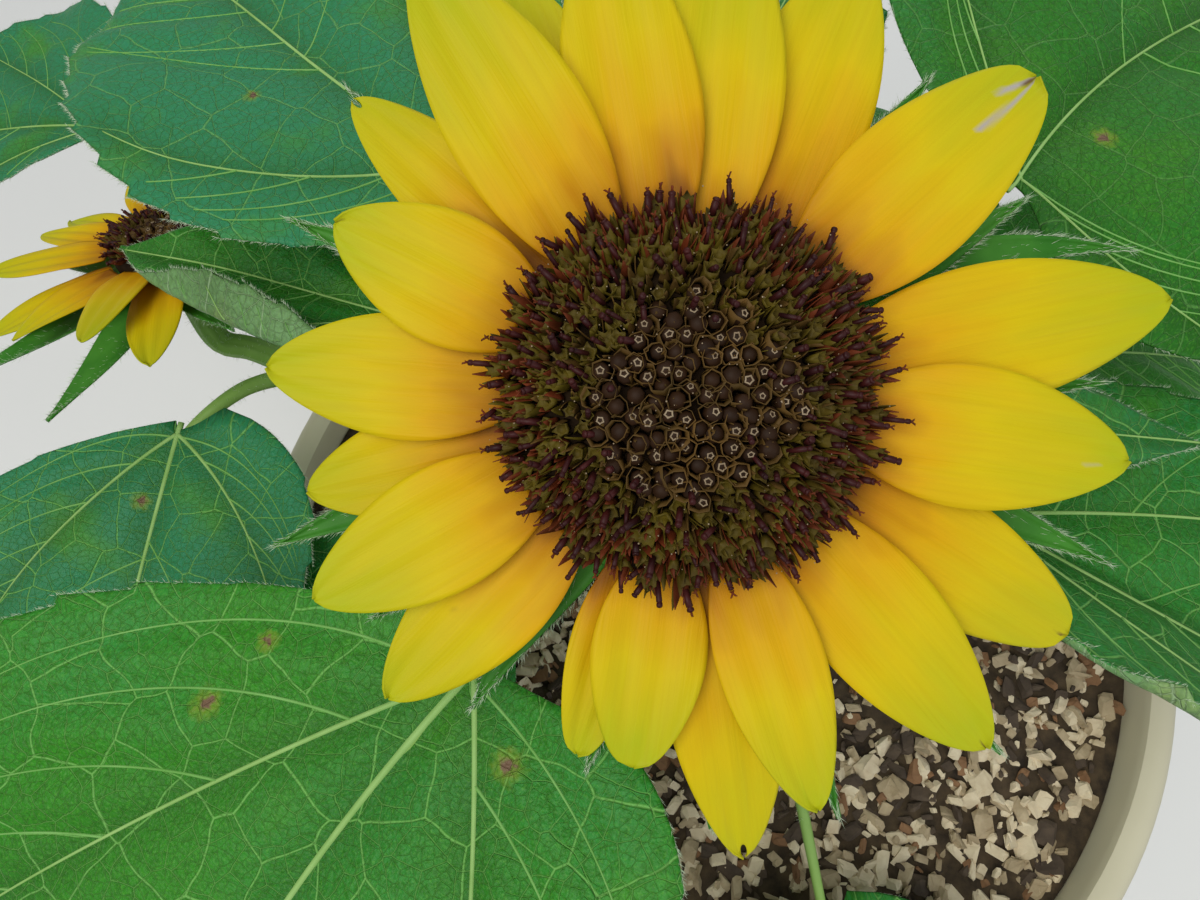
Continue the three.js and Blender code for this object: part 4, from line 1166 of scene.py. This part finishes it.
def make_mix():
    bottom = POT["floor"] + GAP
    profile = [(0, bottom), (wall_radius(bottom) - POT["wall"] - GAP, bottom), (MIX_RADIUS, LIP_FOOT)]
    profile += [(MIX_RADIUS * share, crowned(share)) for share in np.linspace(1, 0.02, 46)]
    points, faces = turned_shape([*profile, (0, MIX["crown"])], MIX["sides"])
    lumps, calm, from_foot = mix_lumps(points[:, 0], points[:, 1])
    grain = chance.normal(0, MIX["grain"], len(points)) * (from_foot > MIX["bare"])
    off_foot = (from_foot - MIX["lumps_from"]) / (MIX["lumps_full"] - MIX["lumps_from"])
    swell = lumps * np.clip(off_foot, 0, 1) + grain
    points[:, 2] += np.where(points[:, 2] > LIP_FOOT + 0.5, calm * swell, 0)
    make_piece("potting_mix_bed", [(points, faces)], [MIX_DARK], ["potting_mix"])


def torn(x, y, z):
    swell = 1 + 0.35 * math.sin(5 * x + 3 * y)
    return x + 0.16 * math.sin(7 * y + 5 * z), y + 0.16 * math.sin(6 * x - 4 * z), z * swell


def shape_chip(thing):
    """A torn lump of bark."""
    bpy.ops.mesh.select_all(action="SELECT")
    bpy.ops.mesh.bevel(offset=0.2, segments=1, affect="EDGES")
    move_points(thing, torn)


def make_chips():
    shape = shaped(bpy.ops.mesh.primitive_cube_add, shape_chip, size=1)
    reach = MIX_RADIUS - CHIP["clear_of_wall"]
    order = np.arange(CHIP["count"]) + 0.5
    radius = np.sqrt(order / len(order)) * reach
    angle = order * SEED_TURN + chance.normal(0, 0.05, len(order))
    spots = np.column_stack([radius * np.cos(angle), radius * np.sin(angle)])
    spots = spots + chance.normal(0, CHIP["jitter"], spots.shape)
    from_foot = mix_lumps(*spots.T)[2]
    spots = spots[(from_foot > CHIP["clear_of_stem"]) & (np.hypot(*spots.T) < reach)]
    count = len(spots)
    lumps, calm, _ = mix_lumps(*spots.T)
    ground = crowned(np.hypot(*spots.T) / MIX_RADIUS) + lumps * calm
    origins = np.column_stack([spots, ground + chance.uniform(-0.5, 1.6, count)])
    up = unit(UP + chance.normal(0, 0.5, (count, 3)))
    xs, ys = axes_along(up, chance.uniform(0, 2 * math.pi, count))
    long = CHIP["shortest"] + (CHIP["longest"] - CHIP["shortest"]) * chance.uniform(0, 1, count) ** 1.6
    kinds = chance.choice(len(CHIPS), count, p=[share for _, share, *_ in CHIPS])
    for kind, (colour, _, *look) in enumerate(CHIPS):
        pick = kinds == kind
        length = long[pick, None]
        wide = length * chance.uniform(0.4, 0.85, pick.sum())[:, None]
        thick = length * chance.uniform(0.22, 0.5, pick.sum())[:, None]
        one, other, roughness = look
        finish = plain_finish("bark_" + colour, one, other, 160, roughness, depth=0.0006)
        part = copies(shape, origins[pick], xs[pick] * length, ys[pick] * wide, up[pick] * thick)
        chips = make_piece("bark_chips_" + colour, [part], [finish])
        chips.data.polygons.foreach_set("use_smooth", np.zeros(len(chips.data.polygons), bool))


# The plant
make_pot()
make_mix()
make_chips()

stem_bar = bar_shape(54, 90)
main_radius, side_radius = stem_radius(MAIN_STEM), stem_radius(SIDE_STEM)
main_points, main_faces = tube(stem_bar, main_line, main_radius)
main_points[:, 2] = np.maximum(main_points[:, 2], MIX["crown"] + GAP)
make_piece("main_stem_skin", [(main_points, main_faces)], [STEM], ["main_stem"])
make_piece("side_branch_skin", [tube(stem_bar, side_line, side_radius)], [STEM], ["side_branch"])
add_stem_hairs(main_line, main_radius, 1500, 1.9, 0.03, 0.97)
add_stem_hairs(side_line, side_radius, 1200, 1.8, 0.06, 0.97)

for leaf in LEAVES:
    make_leaf(leaf, main_line)
for leaf in SIDE_LEAVES:
    make_leaf(leaf, side_line)
make_petals(MAIN_HEAD, MAIN_PETALS, STREAKS, notched=(7, 15), blunt=(1, 13, 14, 18))
make_petals(SIDE_HEAD, SIDE_PETALS)
make_calyx(MAIN_HEAD, MAIN_BRACTS)
make_calyx(SIDE_HEAD, SIDE_BRACTS)
make_disk(MAIN_HEAD)
make_disk(SIDE_HEAD)

hair_points, hair_faces = shaped(bpy.ops.mesh.primitive_cone_add, vertices=3, radius1=1, radius2=0, depth=1)
hair_shape = hair_points + (0, 0, 0.5), hair_faces
for kind, groups in all_hairs.items():
    roots, directions, lengths = (np.concatenate(group) for group in zip(*groups))
    xs, ys = axes_along(directions, chance.uniform(0, 6, len(roots)))
    hairs = copies(hair_shape, roots, xs * HAIR_RADIUS, ys * HAIR_RADIUS, directions * lengths[:, None])
    make_piece(kind + "_hairs", [hairs], [HAIR])

# Camera and light
EYE = Vector((-35.4, -68.6, 518.2)) * MM
camera = bpy.data.objects.new("camera", bpy.data.cameras.new("camera"))
camera.data.lens = LENS
camera.data.sensor_width = SENSOR
camera.data.clip_start = 0.01
camera.matrix_world = Matrix.Translation(EYE) @ Matrix.Rotation(math.radians(LOOK_TILT), 4, "X")
bpy.context.collection.objects.link(camera)
bpy.context.scene.camera = camera

deselect()
bpy.ops.mesh.primitive_plane_add(size=8, location=(0, 0, 0))
floor = bpy.context.active_object
floor.name = "floor"
floor.data.materials.append(plain_finish("pale_floor", (0.82, 0.82, 0.8), (0.84, 0.84, 0.82), 3, 0.9))

# Name, place, aim, size, power and tint
LIGHTS = [("soft_key", (-0.5, -0.5, 1.7), (0, 0, 0.35), 1.1, 17, (1.0, 0.98, 0.93)),
          ("soft_fill", (1.1, -0.9, 1.0), (0, 0, 0.3), 1.2, 5, (0.92, 0.96, 1.0)),
          ("soft_back", (0.2, 1.4, 1.2), (0, 0, 0.3), 1.0, 5, (0.95, 0.98, 1.0))]
for name, place, aim, size, power, tint in LIGHTS:
    light = bpy.data.objects.new(name, bpy.data.lights.new(name, "AREA"))
    light.data.size = size
    light.data.energy = power
    light.data.color = tint
    light.location = place
    light.rotation_euler = (Vector(aim) - Vector(place)).to_track_quat("-Z", "Y").to_euler()
    bpy.context.collection.objects.link(light)
world = bpy.data.worlds.new("studio")
world.use_nodes = True
world.node_tree.nodes["Background"].inputs[0].default_value = (0.9, 0.95, 1.0, 1)
world.node_tree.nodes["Background"].inputs[1].default_value = 0.32
bpy.context.scene.world = world
bpy.context.scene.view_settings.view_transform = "Standard"
